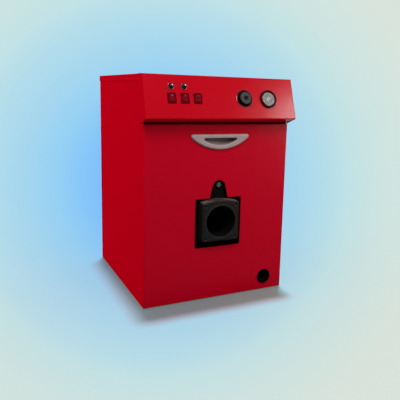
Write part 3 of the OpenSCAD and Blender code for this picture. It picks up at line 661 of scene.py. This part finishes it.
def handle_rim():
    """The half-moon rim, with a broad rounding outside and a small one round the finger opening"""
    bm = bmesh.new()

    def outside(drawn_in, z):
        return half_moon(bm, HANDLE_W - 2 * drawn_in, HANDLE_H - 2 * drawn_in, HANDLE_TIP - drawn_in,
                         -drawn_in, z)

    def inside(let_out, z):
        return half_moon(bm, FINGER_W + 2 * let_out, FINGER_H + 2 * let_out, FINGER_TIP + let_out,
                         let_out - FINGER_DROP, z)

    broad, small, slope = 5.6, 2.0, 0.2
    inner_proud = HANDLE_PROUD - slope
    turns = [math.radians(18 * i) for i in range(6)]
    outer = [outside(0, -slope)]
    outer += [outside(broad * (1 - math.cos(t)), HANDLE_PROUD - broad * (1 - math.sin(t))) for t in turns]
    inner = [inside(small * (1 - math.sin(t)), inner_proud - small * (1 - math.cos(t))) for t in turns]
    inner.append(inside(0, 0))
    for rings in (outer, inner):
        for last, ring in zip(rings, rings[1:]):
            bridge(bm, last, ring)
    bridge(bm, outer[-1], inner[0])
    bridge(bm, outer[0], inner[-1])
    piece("handle_rim", outward(bm), on_front(0, HANDLE_TOP), "front_panel", "handle_grey",
          replaces=["handle_trim"])


def handle_scoop():
    """Finger scoop: it drops off steeply under the rim and gets deeper to the right, where the catch is"""
    depth, steps, stop = 24.0, 9, 80
    bm = bmesh.new()
    loop = half_moon(bm, FINGER_W + 1, FINGER_H + 1, FINGER_TIP + 0.5, 0.5, 0.3)
    height, width = 1.0, 1.0
    for i in range(1, steps + 1):
        turn = math.radians(stop * i / steps)
        new_height = math.cos(turn) ** 0.7
        new_width = 1 - 0.2 * (1 - math.cos(turn))
        loop = pull(bm, loop, -depth * math.sin(turn), (new_width / width, new_height / height))
        height, width = new_height, new_width
    floor = fill(bm, loop)
    for v in bm.verts:
        if v.co.z < 0:
            v.co.z *= 0.75 + 0.25 * v.co.x / (FINGER_W / 2)
    outward(bm)
    if floor[0].normal.z < 0:
        bmesh.ops.reverse_faces(bm, faces=bm.faces)
    bmesh.ops.solidify(bm, geom=list(bm.faces), thickness=1.2)
    place = on_front(0, HANDLE_TOP - FINGER_DROP * 0.001)
    piece("handle_scoop", bm, place, "front_panel", "handle_grey", [SCOOP_GREY], ["handle_cup"], sharp=50)


# ---- Burner port ------------------------------------------------------------------------

CASTING = {"half": 65.0, "up": 71.0, "arch": 9.0, "corner": 9.0, "proud": 22.0, "back": -8.0, "round": 7.0}
PORT_R = 51.0
LIP_FOOT_R, LIP_R, LAND_R, LIP_PROUD, MOUTH_DROP = 57.5, 56.9, 52.2, 0.7, 0.6
SCREW_OUT = 75.0 * math.sin(math.radians(45))
CHAMFER_R, TAPPED_R, CHAMFER_DEPTH, TAPPED_DEPTH = 4.8, 3.4, 1.4, 18


def casting_outline(bm, z, drawn_in=0.0):
    """A square with round corners and an arched upper edge, drawn in from its full size by so much"""
    half, up, arch, r = CASTING["half"], CASTING["up"], CASTING["arch"], CASTING["corner"]
    rise_r = (half * half + arch * arch) / (2 * arch)
    lean = math.degrees(math.asin((half - r) / (rise_r - r)))
    shoulder = up - rise_r + (rise_r - r) * math.cos(math.radians(lean))
    pen = Pen(bm, drawn_in - half, shoulder, z)
    pen.arc(r - half, shoulder, lean - 90, 6)
    pen.arc(0, up - rise_r, -2 * lean, 20)
    pen.arc(half - r, shoulder, lean - 90, 6)
    pen.line(half - drawn_in, r - half)
    pen.arc(half - r, r - half, -90, 6)
    pen.line(r - half, drawn_in - half)
    pen.arc(r - half, r - half, -90, 6)
    pen.line(drawn_in - half, shoulder)
    return pen.close()


def punch(bm, x, y, z, r):
    """Cuts a round hole into a face of triangles at one height, and returns its edges"""
    spot = Vector((x, y, z))

    def reached(face):
        corners = [v.co for v in face.verts]
        level = len(corners) == 3 and all(abs(c.z - z) < 0.01 for c in corners)
        return level and (closest_point_on_tri(spot, *corners) - spot).length < r + 0.1

    hit = {face for face in bm.faces if reached(face)}
    border = [e for e in bm.edges if sum(face in hit for face in e.link_faces) == 1]
    bmesh.ops.delete(bm, geom=list(hit), context="FACES_KEEP_BOUNDARY")
    hole = circle(bm, r, z, 24, x, y)
    bmesh.ops.triangle_fill(bm, edges=border + hole, use_beauty=True, use_dissolve=False, normal=(0, 0, 1))
    return hole


def burner_block():
    """The casting that takes the burner: rounded front edges, a raised lip round the port, four holes"""
    front, back, r = CASTING["proud"], CASTING["back"], CASTING["round"]
    bm = bmesh.new()
    foot = casting_outline(bm, back)
    last = foot
    for i in range(7):
        turn = math.radians(15 * i)
        ring = casting_outline(bm, front - r * (1 - math.sin(turn)), r * (1 - math.cos(turn)))
        bridge(bm, last, ring)
        last = ring
    port = circle(bm, LIP_FOOT_R, front, 96)
    bmesh.ops.triangle_fill(bm, edges=last + port, use_beauty=True, use_dissolve=False, normal=(0, 0, 1))
    for x, y in [(x, y) for x in (-SCREW_OUT, SCREW_OUT) for y in (-SCREW_OUT, SCREW_OUT)]:
        hole = punch(bm, x, y, front, CHAMFER_R)
        chamfer = pull(bm, hole, front - CHAMFER_DEPTH, (TAPPED_R / CHAMFER_R,) * 2, (x, y))
        fill(bm, pull(bm, chamfer, front - TAPPED_DEPTH))
    lip = pull(bm, port, front + LIP_PROUD, (LIP_R / LIP_FOOT_R,) * 2)
    land = pull(bm, lip, front + LIP_PROUD, (LAND_R / LIP_R,) * 2)
    mouth = pull(bm, land, front - MOUTH_DROP, (PORT_R / LAND_R,) * 2)
    throat = pull(bm, mouth, back)
    bridge(bm, foot, throat)
    outward(bm)
    for face in bm.faces:
        face.material_index = int(face.calc_center_median().xy.length < PORT_R + 0.1)
    piece("burner_block", bm, on_front(0, PORT_Z), "cabinet", "black_casting",
          [FINISH["black_casting"], SOOT_AND_SHADE], ["burner_casting"])


CORNER_PER_FLAT = 0.5 / math.cos(math.radians(30))      # a hexagon's corner radius over its width


def hex_head(bm, across_flats, foot, top):
    """A chamfered hexagon between two heights"""
    r = across_flats * CORNER_PER_FLAT
    turn = Matrix.Translation((0, 0, (foot + top) / 2)) @ Matrix.Rotation(math.radians(30), 4, "Z")
    made = bmesh.ops.create_cone(
        bm, cap_ends=True, cap_tris=False, segments=6, radius1=r, radius2=r, depth=top - foot, matrix=turn)
    corners = [v for v in made["verts"] if v.co.z > top - 0.01]
    crown = [e for e in bm.edges if all(v in corners for v in e.verts)]
    bevel(bm, crown, 0.9, 2)


def bolt(across_flats, foot, head_top, washer_r, washer_t, shank_r, tip):
    """Hexagon head on a washer, with the shank running down to its tip"""
    bm = bmesh.new()
    hex_head(bm, across_flats, foot + washer_t, head_top)
    lathe([(0, foot), (washer_r - 0.3, foot), (washer_r, foot + 0.3), (washer_r, foot + washer_t - 0.3),
           (washer_r - 0.3, foot + washer_t), (0, foot + washer_t)], 48, bm)
    under = foot + 0.1
    lathe([(0, tip), (shank_r - 0.6, tip), (shank_r, tip + 0.6), (shank_r, under), (0, under)], 32, bm)
    return outward(bm)


def lug_and_door_bolts():
    lug_z = middle("lug_bolt").z
    lug_bolt = bolt(15, foot=-8, head_top=-1.8, washer_r=6.6, washer_t=1.5, shank_r=5, tip=-46)
    piece("lug_nut", lug_bolt, on_front(0, lug_z), "cabinet", "zinc_bolts", replaces=["lug_bolt"])
    low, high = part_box("burner_door_bolts")
    flats = 16
    reach = flats * CORNER_PER_FLAT * 0.001
    xs = (low.x + reach, high.x - reach)
    zs = (low.z + flats / 2 * 0.001, high.z - flats / 2 * 0.001)
    face = (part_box("burner_door")[0].y - FRONT_Y) * -1000
    for i, (x, z) in enumerate((x, z) for x in xs for z in zs):
        door_bolt = bolt(
            flats, foot=face, head_top=face + 7, washer_r=9.5, washer_t=1.6, shank_r=5, tip=face - 18)
        piece(f"door_bolt_{i + 1}", door_bolt, on_front(x, z), "cabinet", "zinc_bolts",
              replaces=["burner_door_bolts"] if i == 0 else ())


def burner_door_plate():
    low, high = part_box("burner_door")
    w, h = (high.x - low.x) * 1000, (high.z - low.z) * 1000
    face = (low.y - FRONT_Y) * -1000
    back = (high.y - FRONT_Y) * -1000
    bm = bmesh.new()
    edge = round_rect(bm, w, h, 20, face, 8)
    port = circle(bm, PORT_R, face, 64)
    bridge(bm, edge, port)
    edge = pull(bm, edge, back)
    port = pull(bm, port, back)
    bridge(bm, edge, port)
    outward(bm)
    front = face - 0.01
    soften(bm, 4.0, 4, 60, lambda e: all(v.co.z > front and v.co.xy.length > PORT_R + 10 for v in e.verts))
    piece("burner_door_plate", bm, on_front(0, middle("burner_door").z), "cabinet", "black_casting",
          [SOOT_AND_SHADE], ["burner_door"])


# ---- Cable entry ------------------------------------------------------------------------


def grommet():
    centre = middle("cable_grommet")
    bm = lathe([(18, -8), (22.3, -8), (22.75, -7.5), (22.75, 0), (25.0, 0), (25.5, 0.6), (25.2, 1.7),
                (24.2, 2.4), (20.6, 2.5), (19.0, 2.0), (18.2, 1.0), (18, 0), (18, -8)], 72)
    # Thin lips inside that grip a cable
    for level in (-5.5, -2.0):
        lathe([(18.2, level - 0.5), (15.6, level - 0.2), (15.6, level + 0.2), (18.2, level + 0.5),
               (18.2, level - 0.5)], 72, bm)
    piece("entry_grommet", outward(bm), on_front(centre.x, centre.z), "front_panel", "black_rubber",
          replaces=["cable_grommet"])


# ---- Lamps and switches -----------------------------------------------------------------

LAMP_ABOVE_DIALS = 0.033


def lamps():
    for side in ("left", "right"):
        place = on_hood(middle(f"{side}_lamp_ring").x, LAMP_ABOVE_DIALS)
        # the bezel's pinkish-red chrome is a painted reflection of the hood
        ring = lathe([(0, -24), (6.2, -24), (7, -23.2), (7, 0), (11, 0), (11.2, 0.3), (10.8, 1.4), (10.1, 2.4),
                      (9.3, 2.9), (8.9, 2.8), (8.7, 2.4), (8.6, 0.6), (0, 0.6)], 64)
        piece(f"{side}_lamp_bezel", outward(ring), place, "cabinet", "bright_ring",
              replaces=[f"{side}_lamp_ring"])
        rim_r, shoulder, crown = 8.5, 2.6, 7.3
        dome_r = (rim_r ** 2 + (crown - shoulder) ** 2) / (2 * (crown - shoulder))
        bow = [math.asin(rim_r / dome_r) * (1 - i / 12) for i in range(13)]
        dome = [(0, 0.6), (rim_r, 0.6)]
        dome += [(dome_r * math.sin(t), crown - dome_r * (1 - math.cos(t))) for t in bow]
        piece(f"{side}_lamp_dome", outward(lathe(dome, 64)), place, "cabinet", "dark_lens",
              replaces=[f"{side}_lamp_lens"])


SWITCH_W, SWITCH_L, SWITCH_PLATE = 27.0, 32.0, 2.2
BODY_W, BODY_L, BODY_BACK = 23.0, 28.0, -20.0
WELL_W, WELL_L, WELL_FLOOR = 19.8, 24.8, -18.0
ROCKER_W, ROCKER_L, ROCKER_DIP, ROCKER_REST = 18.8, 23.8, 5.0, 8.0
PIVOT_DROP = 2.5
# length of the rocker's lower end that is painted dark: a painted shade where the end sinks into its well
SHADED_END = 4.2
MARK_AT = 0.66      # of the way from the middle of a rocker to its end


def switch_frame(i, place):
    bm = bmesh.new()
    outer = round_rect(bm, SWITCH_W, SWITCH_L, 2.0, SWITCH_PLATE, 5)
    inner = round_rect(bm, WELL_W, WELL_L, 0.8, SWITCH_PLATE, 5)
    bridge(bm, outer, inner)
    skirt = pull(bm, outer, 0.0)
    body = pull(bm, skirt, 0.0, (BODY_W / SWITCH_W, BODY_L / SWITCH_L))
    fill(bm, pull(bm, body, BODY_BACK))
    fill(bm, pull(bm, inner, WELL_FLOOR))
    outward(bm)
    crown = SWITCH_PLATE - 0.01
    soften(bm, 0.8, 3, 60, lambda e: all(v.co.z > crown for v in e.verts))
    piece(f"switch_{i}_bezel", bm, place, "cabinet", "switch_black", replaces=[f"switch_{i}_frame"])


def switch_mark(i):
    """The mark on a rocker's upper half: a bar for on, a ring for off; the third rocker's wide grey bar is a
    painted highlight band
    """
    bm = bmesh.new()
    # painted highlight: a pale band across the third rocker's top
    if i == 3:
        block(bm, (-4.2, -0.8, -0.3), (4.2, 0.8, 0.06))
    elif i == 2:
        block(bm, (-0.9, -2.2, -0.3), (0.9, 2.2, 0.06))
    else:
        lathe([(2.4, -0.3), (2.4, 0.06), (1.4, 0.06), (1.4, -0.3), (2.4, -0.3)], 32, bm)
    return outward(bm)


def rocker(i, place):
    """A rocker with a hollowed top, pushed in at its lower end; a strip at that end takes the frame's dark finish
    as a painted shade
    """
    slope = math.radians(ROCKER_REST)
    half_l = ROCKER_L / 2
    rise = half_l * math.tan(slope)
    bm = bmesh.new()
    block(bm, (-ROCKER_W / 2, -half_l, -6), (ROCKER_W / 2, half_l, ROCKER_DIP + rise))
    soften(bm, 0.7, 4, 60)
    for cut in (0.0, SHADED_END - half_l):
        bmesh.ops.bisect_plane(
            bm, geom=bm.verts[:] + bm.edges[:] + bm.faces[:], plane_co=(0, cut, 0), plane_no=(0, 1, 0))
    for v in bm.verts:
        if v.co.z > 0:
            v.co.z -= rise * (1 - abs(v.co.y) / half_l)
    outward(bm)
    # the faces of the lower end get the frame's dark finish, a painted shade
    for face in bm.faces:
        face.material_index = int(face.calc_center_median().y < SHADED_END - half_l)
    tilt = Matrix.Translation((0, 0, -PIVOT_DROP)) @ Matrix.Rotation(slope, 4, "X")
    piece(f"switch_{i}_key", bm, place @ tilt, f"switch_{i}_rocker", "rocker_red",
          [FINISH["rocker_red"], FINISH["switch_black"]], [f"switch_{i}_rocker"])
    spot = Vector((0, half_l, rise)) * MARK_AT + Vector((0, 0, ROCKER_DIP))
    on_half = Matrix.Translation(spot) @ Matrix.Rotation(slope, 4, "X")
    # the first two marks are rose print; the third's grey bar is a painted highlight
    piece(f"switch_{i}_mark", switch_mark(i), place @ tilt @ on_half, f"switch_{i}_rocker", "rocker_red",
          [MARK_ROSE if i < 3 else PRINT_GREY])


def switches():
    for i in (1, 2, 3):
        pivot = Vector(JOINTS[f"switch_{i}_rock"]["pos_m"])
        place = facing(pivot + HOOD_OUT * PIVOT_DROP * 0.001, ACROSS, HOOD_UP)
        switch_frame(i, place)
        rocker(i, place)


# ---- Thermostat -------------------------------------------------------------------------


def thermostat():
    # the collar is dark red as a painted shade where the hood meets the knob
    collar = lathe([(0, -36), (16.4, -36), (17, -35.4), (17, -8), (6, -8), (6, 0), (27.1, 0), (27.1, 0.5),
                    (26.2, 1.4), (0, 1.4)])
    place = on_hood(KNOB_SEAT.x)
    piece("thermostat_collar", outward(collar), place, "cabinet", "knob_black", [COLLAR_SHADE_RED], ["thermostat"])
    # pinkish-red chrome bead: a painted reflection of the red hood round it
    bead = lathe([
        (27.1, 0), (28.9, 0), (29, 0.3), (28.5, 2.0), (28.1, 2.5), (27.8, 2.5), (27.4, 2.1), (27.1, 0)])
    piece("collar_bead", outward(bead), place, "cabinet", "bright_ring", [BEAD_RED_REFLECTION])


def knob():
    """Control knob: a skirt, a fluted grip, a dished cap and a pointer"""
    flutes, per_flute = 24, 6
    place = on_hood(KNOB_SEAT.x) @ Matrix.Translation((0, 0, 3.5))
    bm = lathe([(0, 0), (24.6, 0), (25, 0.4), (25, 1.8), (24.5, 2.5), (22.8, 2.9), (22.3, 3.4), (22.0, 4.2),
                (21.6, 7.0), (21.1, 7.9), (20.2, 8.5), (19.4, 8.5), (18.9, 8.1), (0, 7.6)],
               flutes * per_flute)
    # Flutes, pressed into the grip between its foot and its rounded top
    for v in bm.verts:
        turn = round(math.atan2(v.co.y, v.co.x) / math.tau * flutes * per_flute) % per_flute
        if 3.3 < v.co.z < 7.5 and v.co.xy.length > 21.0 and turn in (0, 1, 5):
            depth = 1.2 if turn == 0 else 0.7
            v.co.xy *= 1 - depth / v.co.xy.length
    piece("knob_grip", outward(bm), place, "thermostat_knob", "knob_black",
          replaces=["thermostat_knob"], sharp=40)
    cap = lathe([(0, 7.2), (18.6, 7.6), (18.6, 8.1), (17.6, 8.4), (8.5, 7.9), (7.2, 7.8), (7.0, 7.6),
                 (0, 7.6)])
    # cap edges lighter and pinkish: partly wear, partly a painted highlight
    piece("knob_cap", outward(cap), place, "thermostat_knob", "dial_grey", [CAP_GREY], sharp=40)
    hub = lathe([(0, 7.3), (7.0, 7.3), (7.0, 8.2), (6.3, 8.6), (2.5, 8.3), (0, 8.2)], 48)
    piece("knob_hub", outward(hub), place, "thermostat_knob", "knob_black")
    pointer = bmesh.new()
    block(pointer, (-1.0, 9.5, 7.8), (1.0, 18.2, 9.2))
    soften(pointer, 0.35, 2)
    piece("knob_pointer", pointer, place, "thermostat_knob", "dial_grey", [PRINT_GREY])


# ---- Gauge ------------------------------------------------------------------------------

DIAL_LEVEL = 2.5
SCALE_SWEEP, SCALE_STEPS = 270, 24


def gauge_case():
    bm = lathe([(0, -22), (25.4, -22), (26, -21.4), (26, 0), (28.6, 0), (29, 0.5), (29, 4.0), (28.6, 5.6),
                (27.8, 6.6), (26.8, 7.0), (25.6, 6.6), (22.6, 4.4), (21.7, 3.6), (21.5, 3.1), (22, 2.9),
                (24, 2.9), (24, 1.5), (22, 1.5), (22, -20), (0, -20)])
    piece("gauge_body", outward(bm), on_hood(middle("gauge_case").x), "cabinet", "knob_black",
          [BEZEL_DARK], ["gauge_case"])


def scale_angle(step):
    return math.radians(225 - SCALE_SWEEP * step / SCALE_STEPS)


def dial():
    place = on_hood(middle("gauge_dial").x)
    face = lathe([(0, 1.5), (23.6, 1.5), (23.9, 1.7), (23.9, 2.3), (23.6, DIAL_LEVEL), (0, DIAL_LEVEL)])
    piece("dial_face", outward(face), place, "cabinet", "dial_grey", replaces=["gauge_dial"])
    top = DIAL_LEVEL + 0.04
    middle_disc = lathe([(0, DIAL_LEVEL), (5.5, DIAL_LEVEL), (5.5, top), (0, top)], 64)
    piece("dial_middle", outward(middle_disc), place, "cabinet", "dial_grey", [PRINT_WHITE])
    marks = bmesh.new()
    for step in range(SCALE_STEPS + 1):
        long = step % 4 == 0
        width, inner = (0.75, 17.4) if long else (0.4, 18.8)
        verts = block(marks, (inner, -width / 2, DIAL_LEVEL - 0.02), (20.6, width / 2, DIAL_LEVEL + 0.05))
        bmesh.ops.rotate(marks, cent=(0, 0, 0), matrix=Matrix.Rotation(scale_angle(step), 3, "Z"), verts=verts)
    piece("dial_marks", outward(marks), place, "cabinet", "dial_grey", [PRINT_DARK])
    for step in range(0, SCALE_STEPS + 1, 4):
        number(step * 5, scale_angle(step), place)


def number(value, angle, place):
    """One plain number of the dial's scale"""
    text = bpy.data.curves.new("number", "FONT")
    text.body = str(value)
    text.size = 5.4
    text.align_x = "CENTER"
    text.align_y = "CENTER"
    text.extrude = 0.03
    text.resolution_u = 3
    drawn = bpy.data.objects.new("number", text)
    bpy.context.scene.collection.objects.link(drawn)
    bpy.context.view_layer.update()
    bm = bmesh.new()
    bm.from_mesh(drawn.evaluated_get(bpy.context.evaluated_depsgraph_get()).to_mesh())
    bpy.data.objects.remove(drawn)
    at = Matrix.Translation((12.8 * math.cos(angle), 12.8 * math.sin(angle), DIAL_LEVEL + 0.02))
    bmesh.ops.remove_doubles(bm, verts=bm.verts, dist=1e-4)
    piece(f"dial_number_{value}", bm, place @ at, "cabinet", "dial_grey", [PRINT_DARK])


def pointer_and_glass():
    place = on_hood(middle("gauge_glass").x)
    bm = lathe([(0, DIAL_LEVEL), (2.6, DIAL_LEVEL), (2.6, DIAL_LEVEL + 1.5), (2.2, DIAL_LEVEL + 1.9),
                (0, DIAL_LEVEL + 2.0)], 40)
    piece("pointer_hub", outward(bm), place, "cabinet", "bright_ring", [HUB_STEEL])
    needle = bmesh.new()
    verts = block(needle, (-6, -0.9, DIAL_LEVEL + 0.7), (16.5, 0.9, DIAL_LEVEL + 1.1))
    tip = [v for v in verts if v.co.x > 0]
    bmesh.ops.scale(needle, vec=(1, 0.25, 1), verts=tip)
    turn = Matrix.Rotation(scale_angle(9), 3, "Z")
    bmesh.ops.rotate(needle, cent=(0, 0, 0), matrix=turn, verts=verts)
    piece("pointer_needle", outward(needle), place, "cabinet", "pointer_dark", replaces=["gauge_pointer"])
    glass = lathe([(0, 5.2), (21.6, 5.2), (22.2, 4.7), (22.2, 4.2), (0, 4.2)])
    piece("gauge_window", outward(glass), place, "cabinet", "clear_glass", replaces=["gauge_glass"], sharp=60)


# ---- Rear connections and fixings -------------------------------------------------------


def pipe_socket(name, outer_r, bore_r, pitch, depth):
    """A weld-on socket with its thread cut at the mouth"""
    low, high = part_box(name)
    centre = (low + high) / 2
    mouth = (high.y - BACK_Y) * 1000
    foot = (low.y - BACK_Y) * 1000
    turns = int(depth // pitch)
    cut = pitch * 0.55
    wall = [(bore_r - 1.6, foot), (outer_r, foot), (outer_r, mouth - 1.4), (outer_r - 1.4, mouth),
            (bore_r + 2.2, mouth), (bore_r + cut, mouth - 1.8)]
    for i in range(turns):
        at = mouth - 1.8 - i * pitch
        wall += [(bore_r, at - pitch / 2), (bore_r + cut, at - pitch)]
    end = mouth - depth - 2.2
    wall += [(bore_r, end), (bore_r - 1.6, end - 1.2), (bore_r - 1.6, foot)]
    piece(f"{name}_threaded", outward(lathe(wall, 72)), on_back(centre.x, centre.z), "cabinet",
          "drum_steel", replaces=[name])


def screw_head(r=4.2, rise=2.2):
    """Pan head with a square recess"""
    bm = lathe([(0, -6), (1.6, -6), (1.6, 0), (r, 0), (r, rise * 0.45), (r * 0.86, rise * 0.8),
                (r * 0.6, rise)], 32)
    crown = [e for e in bm.edges if len(e.link_faces) == 1]
    recess = circle(bm, 1.5, rise, 4)
    bridge(bm, crown, recess)
    fill(bm, pull(bm, recess, rise - 1.3))
    return outward(bm)


def back_screws():
    """Screws that hold the back panel to the side panels' flanges"""
    low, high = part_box("back_panel")
    inset, from_foot, from_top = 0.011, 0.03, 0.06
    levels = [low.z + from_foot + (high.z - low.z - from_foot - from_top) * i / 3 for i in range(4)]
    places = [(x, z) for x in (low.x + inset, high.x - inset) for z in levels]
    for i, (x, z) in enumerate(places):
        piece(f"back_screw_{i + 1}", screw_head(), on_back(x, z), "cabinet", "zinc_bolts", sharp=40)


PIPE_GRIP = 56      # how far the flue pipe goes in over the collar


def flue_bead():
    """Rolled bead that stops the flue pipe"""
    centre = middle("flue_collar")
    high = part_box("flue_collar")[1]
    level = (high.y - BACK_Y) * 1000 - PIPE_GRIP
    r = 65.0
    bm = lathe([(r - 2.2, level - 2.4), (r + 0.6, level - 1.8), (r + 1.6, level), (r + 0.6, level + 1.8),
                (r - 2.2, level + 2.4), (r - 2.2, level - 2.4)])
    piece("flue_bead", outward(bm), on_back(centre.x, centre.z), "cabinet", "drum_steel")


def jacket_straps():
    """Steel bands round the insulation"""
    low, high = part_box("insulation_jacket")
    centre = (low + high) / 2
    r = (high.x - low.x) / 2 * 1000
    for i, share in enumerate((0.25, 0.75)):
        y = (low.y + (high.y - low.y) * share - BACK_Y) * 1000
        bm = lathe([(r - 0.5, y - 8), (r + 0.7, y - 8), (r + 0.7, y + 8), (r - 0.5, y + 8), (r - 0.5, y - 8)])
        piece(f"jacket_strap_{i + 1}", outward(bm), on_back(centre.x, centre.z), "cabinet", "zinc_bolts")


for sheet in ("front_panel", "control_hood", "left_side_panel", "right_side_panel", "top_lid", "back_panel"):
    rounded_folds(sheet)
handle_rim()
handle_scoop()
burner_block()
lug_and_door_bolts()
burner_door_plate()
grommet()
lamps()
switches()
thermostat()
knob()
gauge_case()
dial()
pointer_and_glass()
pipe_socket("flow_socket", 21.0, 15.1, 2.309, 22.0)
pipe_socket("return_socket", 21.0, 15.1, 2.309, 22.0)
pipe_socket("drain_socket", 14.0, 9.3, 1.814, 22.0)
back_screws()
flue_bead()
jacket_straps()


# ---- Stage and light --------------------------------------------------------------------


AMBIENT = 0.24
FLOOR_BOUNCE = (0.27, 0.27, 0.27, 1)
SHADE = (0.33, 0.165, 0.105, 1)
LIT = (0.67, 0.835, 0.895, 1)


def shown_rays(t):
    """1 where the backdrop is looked at, mirrored or seen through glass, 0 where it only sends light"""
    path = t.add("ShaderNodeLightPath").outputs
    shown = t.math("MAXIMUM", path["Is Camera Ray"], path["Is Glossy Ray"])
    return t.math("MAXIMUM", shown, path["Is Transmission Ray"])


def make_floor():
    """A pale floor that runs into the backdrop without a line and takes the object's contact shadow"""
    f = Finish("floor", Specular_IOR_Level=0.0, Roughness=1.0)
    place = f.add("ShaderNodeTexCoord").outputs["Object"]
    way = f.add("ShaderNodeVectorMath", {0: place, 1: VIEWPOINT}, operation="SUBTRACT").outputs[0]
    tint = f.effect("backdrop_tint", Direction=way)[0]
    shown = shown_rays(f)
    lit = f.mix(1.0, tint, LIT, "MULTIPLY")
    shade = f.mix(1.0, tint, SHADE, "MULTIPLY")
    f.set(Base_Color=f.mix(shown, FLOOR_BOUNCE, lit), Emission_Color=f.mix(shown, (0, 0, 0, 1), shade))
    f.set(Emission_Strength=1.0)
    bm = bmesh.new()
    bmesh.ops.create_circle(bm, cap_ends=True, segments=96, radius=40)
    mesh = bpy.data.meshes.new("floor")
    bm.to_mesh(mesh)
    bm.free()
    mesh.materials.append(f.material)
    floor = bpy.data.objects.new("floor", mesh)
    floor.location.z = -0.0005      # just under the object's foot
    bpy.context.scene.collection.objects.link(floor)
    return floor


def make_world():
    """The backdrop shows to the camera and in reflections; the object is lit by a plain even sky"""
    world = bpy.data.worlds.new("studio")
    world.use_nodes = True
    bpy.context.scene.world = world
    t = Tree(world.node_tree)
    t.tree.nodes.clear()
    way = t.add("ShaderNodeTexCoord").outputs["Generated"]
    tint = t.add("ShaderNodeGroup", node_tree=GROUPS["backdrop_tint"])
    t.put(tint.inputs["Direction"], way)
    backdrop = t.add("ShaderNodeBackground", {"Color": tint.outputs[0], "Strength": 1.0})
    sky = t.add("ShaderNodeBackground", {"Color": (1, 1, 1, 1), "Strength": AMBIENT})
    mixed = t.add("ShaderNodeMixShader", {0: shown_rays(t), 1: sky.outputs[0], 2: backdrop.outputs[0]})
    t.add("ShaderNodeOutputWorld", {"Surface": mixed.outputs[0]})


def softbox(name, place, aim, width, height, brightness):
    """A soft panel of light; its brightness is what a white reflection of it would show"""
    data = bpy.data.lights.new(name, "AREA")
    data.shape = "RECTANGLE"
    data.size = width
    data.size_y = height
    data.energy = brightness * math.pi * width * height
    lamp = bpy.data.objects.new(name, data)
    lamp.rotation_euler = (Vector(aim) - Vector(place)).to_track_quat("-Z", "Y").to_euler()
    lamp.location = place
    lamp.visible_camera = False
    bpy.context.scene.collection.objects.link(lamp)
    return lamp


SUN_ACROSS, SUN_BACK = 0.42, 0.907


def overhead(name, lean, spread, colour):
    """A sun, leaning so many degrees from straight above, that makes up what the sky leaves"""
    data = bpy.data.lights.new(name, "SUN")
    data.energy = math.pi * (1 - AMBIENT)
    data.angle = math.radians(spread)
    data.color = colour
    lamp = bpy.data.objects.new(name, data)
    tilt = math.radians(lean)
    toward = Vector((SUN_ACROSS * math.sin(tilt), SUN_BACK * math.sin(tilt), math.cos(tilt)))
    lamp.rotation_euler = toward.to_track_quat("Z", "Y").to_euler()
    lamp.location = toward * 5
    bpy.context.scene.collection.objects.link(lamp)
    lamp.light_linking.receiver_collection = only_floor


def lit_group(name, objects, link_state="INCLUDE"):
    """A set for a lamp to light alone, or to leave out"""
    group = bpy.data.collections.new(name)
    for part in objects:
        group.objects.link(part)
    for entry in group.collection_objects:
        entry.light_linking.link_state = link_state
    return group


floor = make_floor()
make_world()
only_floor = lit_group("only_floor", [floor])
all_but_floor = lit_group("all_but_floor", [floor], "EXCLUDE")
unglazed = lit_group("unglazed", [floor, bpy.data.objects["gauge_window"]], "EXCLUDE")
panel_alone = lit_group("panel_alone", [bpy.data.objects["front_panel_folded"]])
lenses_alone = lit_group("lenses_alone", [bpy.data.objects[f"{side}_lamp_dome"] for side in ("left", "right")])
bead_alone = lit_group("bead_alone", [bpy.data.objects["collar_bead"]])
hood_alone = lit_group("hood_alone", [NODES["front_rail"], bpy.data.objects["control_hood_folded"]])

# Lights on the object; the gauge's glass doesn't mirror the one that draws the hood's sheen
for lamp, lit in (
        (softbox("top_box", (-0.5, -1.5, 2.4), (0.0, -0.25, 0.6), 1.5, 1.0, 10.9), all_but_floor),
        (softbox("left_box", (-2.4, 0.6, 0.8), (-0.25, 0.1, 0.34), 1.6, 1.6, 5.3), all_but_floor),
        (softbox("hood_sheen", (1.424, -1.684, 1.476), (0.27, -0.308, 0.60), 0.2, 0.2, 158.0), unglazed),
        (softbox("panel_sheen", (1.6, -1.68, 0.45), (0.25, -0.27, 0.55), 0.2, 0.2, 150.0), panel_alone),
        (softbox("lens_glint", (1.2, -0.14, 1.885), (-0.11, -0.25, 0.68), 1.1, 1.1, 50.0), lenses_alone),
        (softbox("bead_glint", (-1.6, -0.69, 1.27), (0.04, -0.29, 0.65), 1.3, 1.3, 11.0), bead_alone),
        (softbox("under_hood", (0.0, -0.6, 0.05), (0.0, -0.29, 0.59), 0.5, 0.2, 2.5), hood_alone)):
    lamp.light_linking.receiver_collection = lit
    lamp.visible_diffuse = lit not in (panel_alone, lenses_alone)

# Lights on the floor alone: they stand high behind on the right and draw the contact shadow
overhead("near_sun", 4.8, 4.2, (1, 0, 0))
overhead("wide_sun", 6.3, 6.0, (0, 1, 1))

bpy.context.scene.view_settings.view_transform = "Standard"
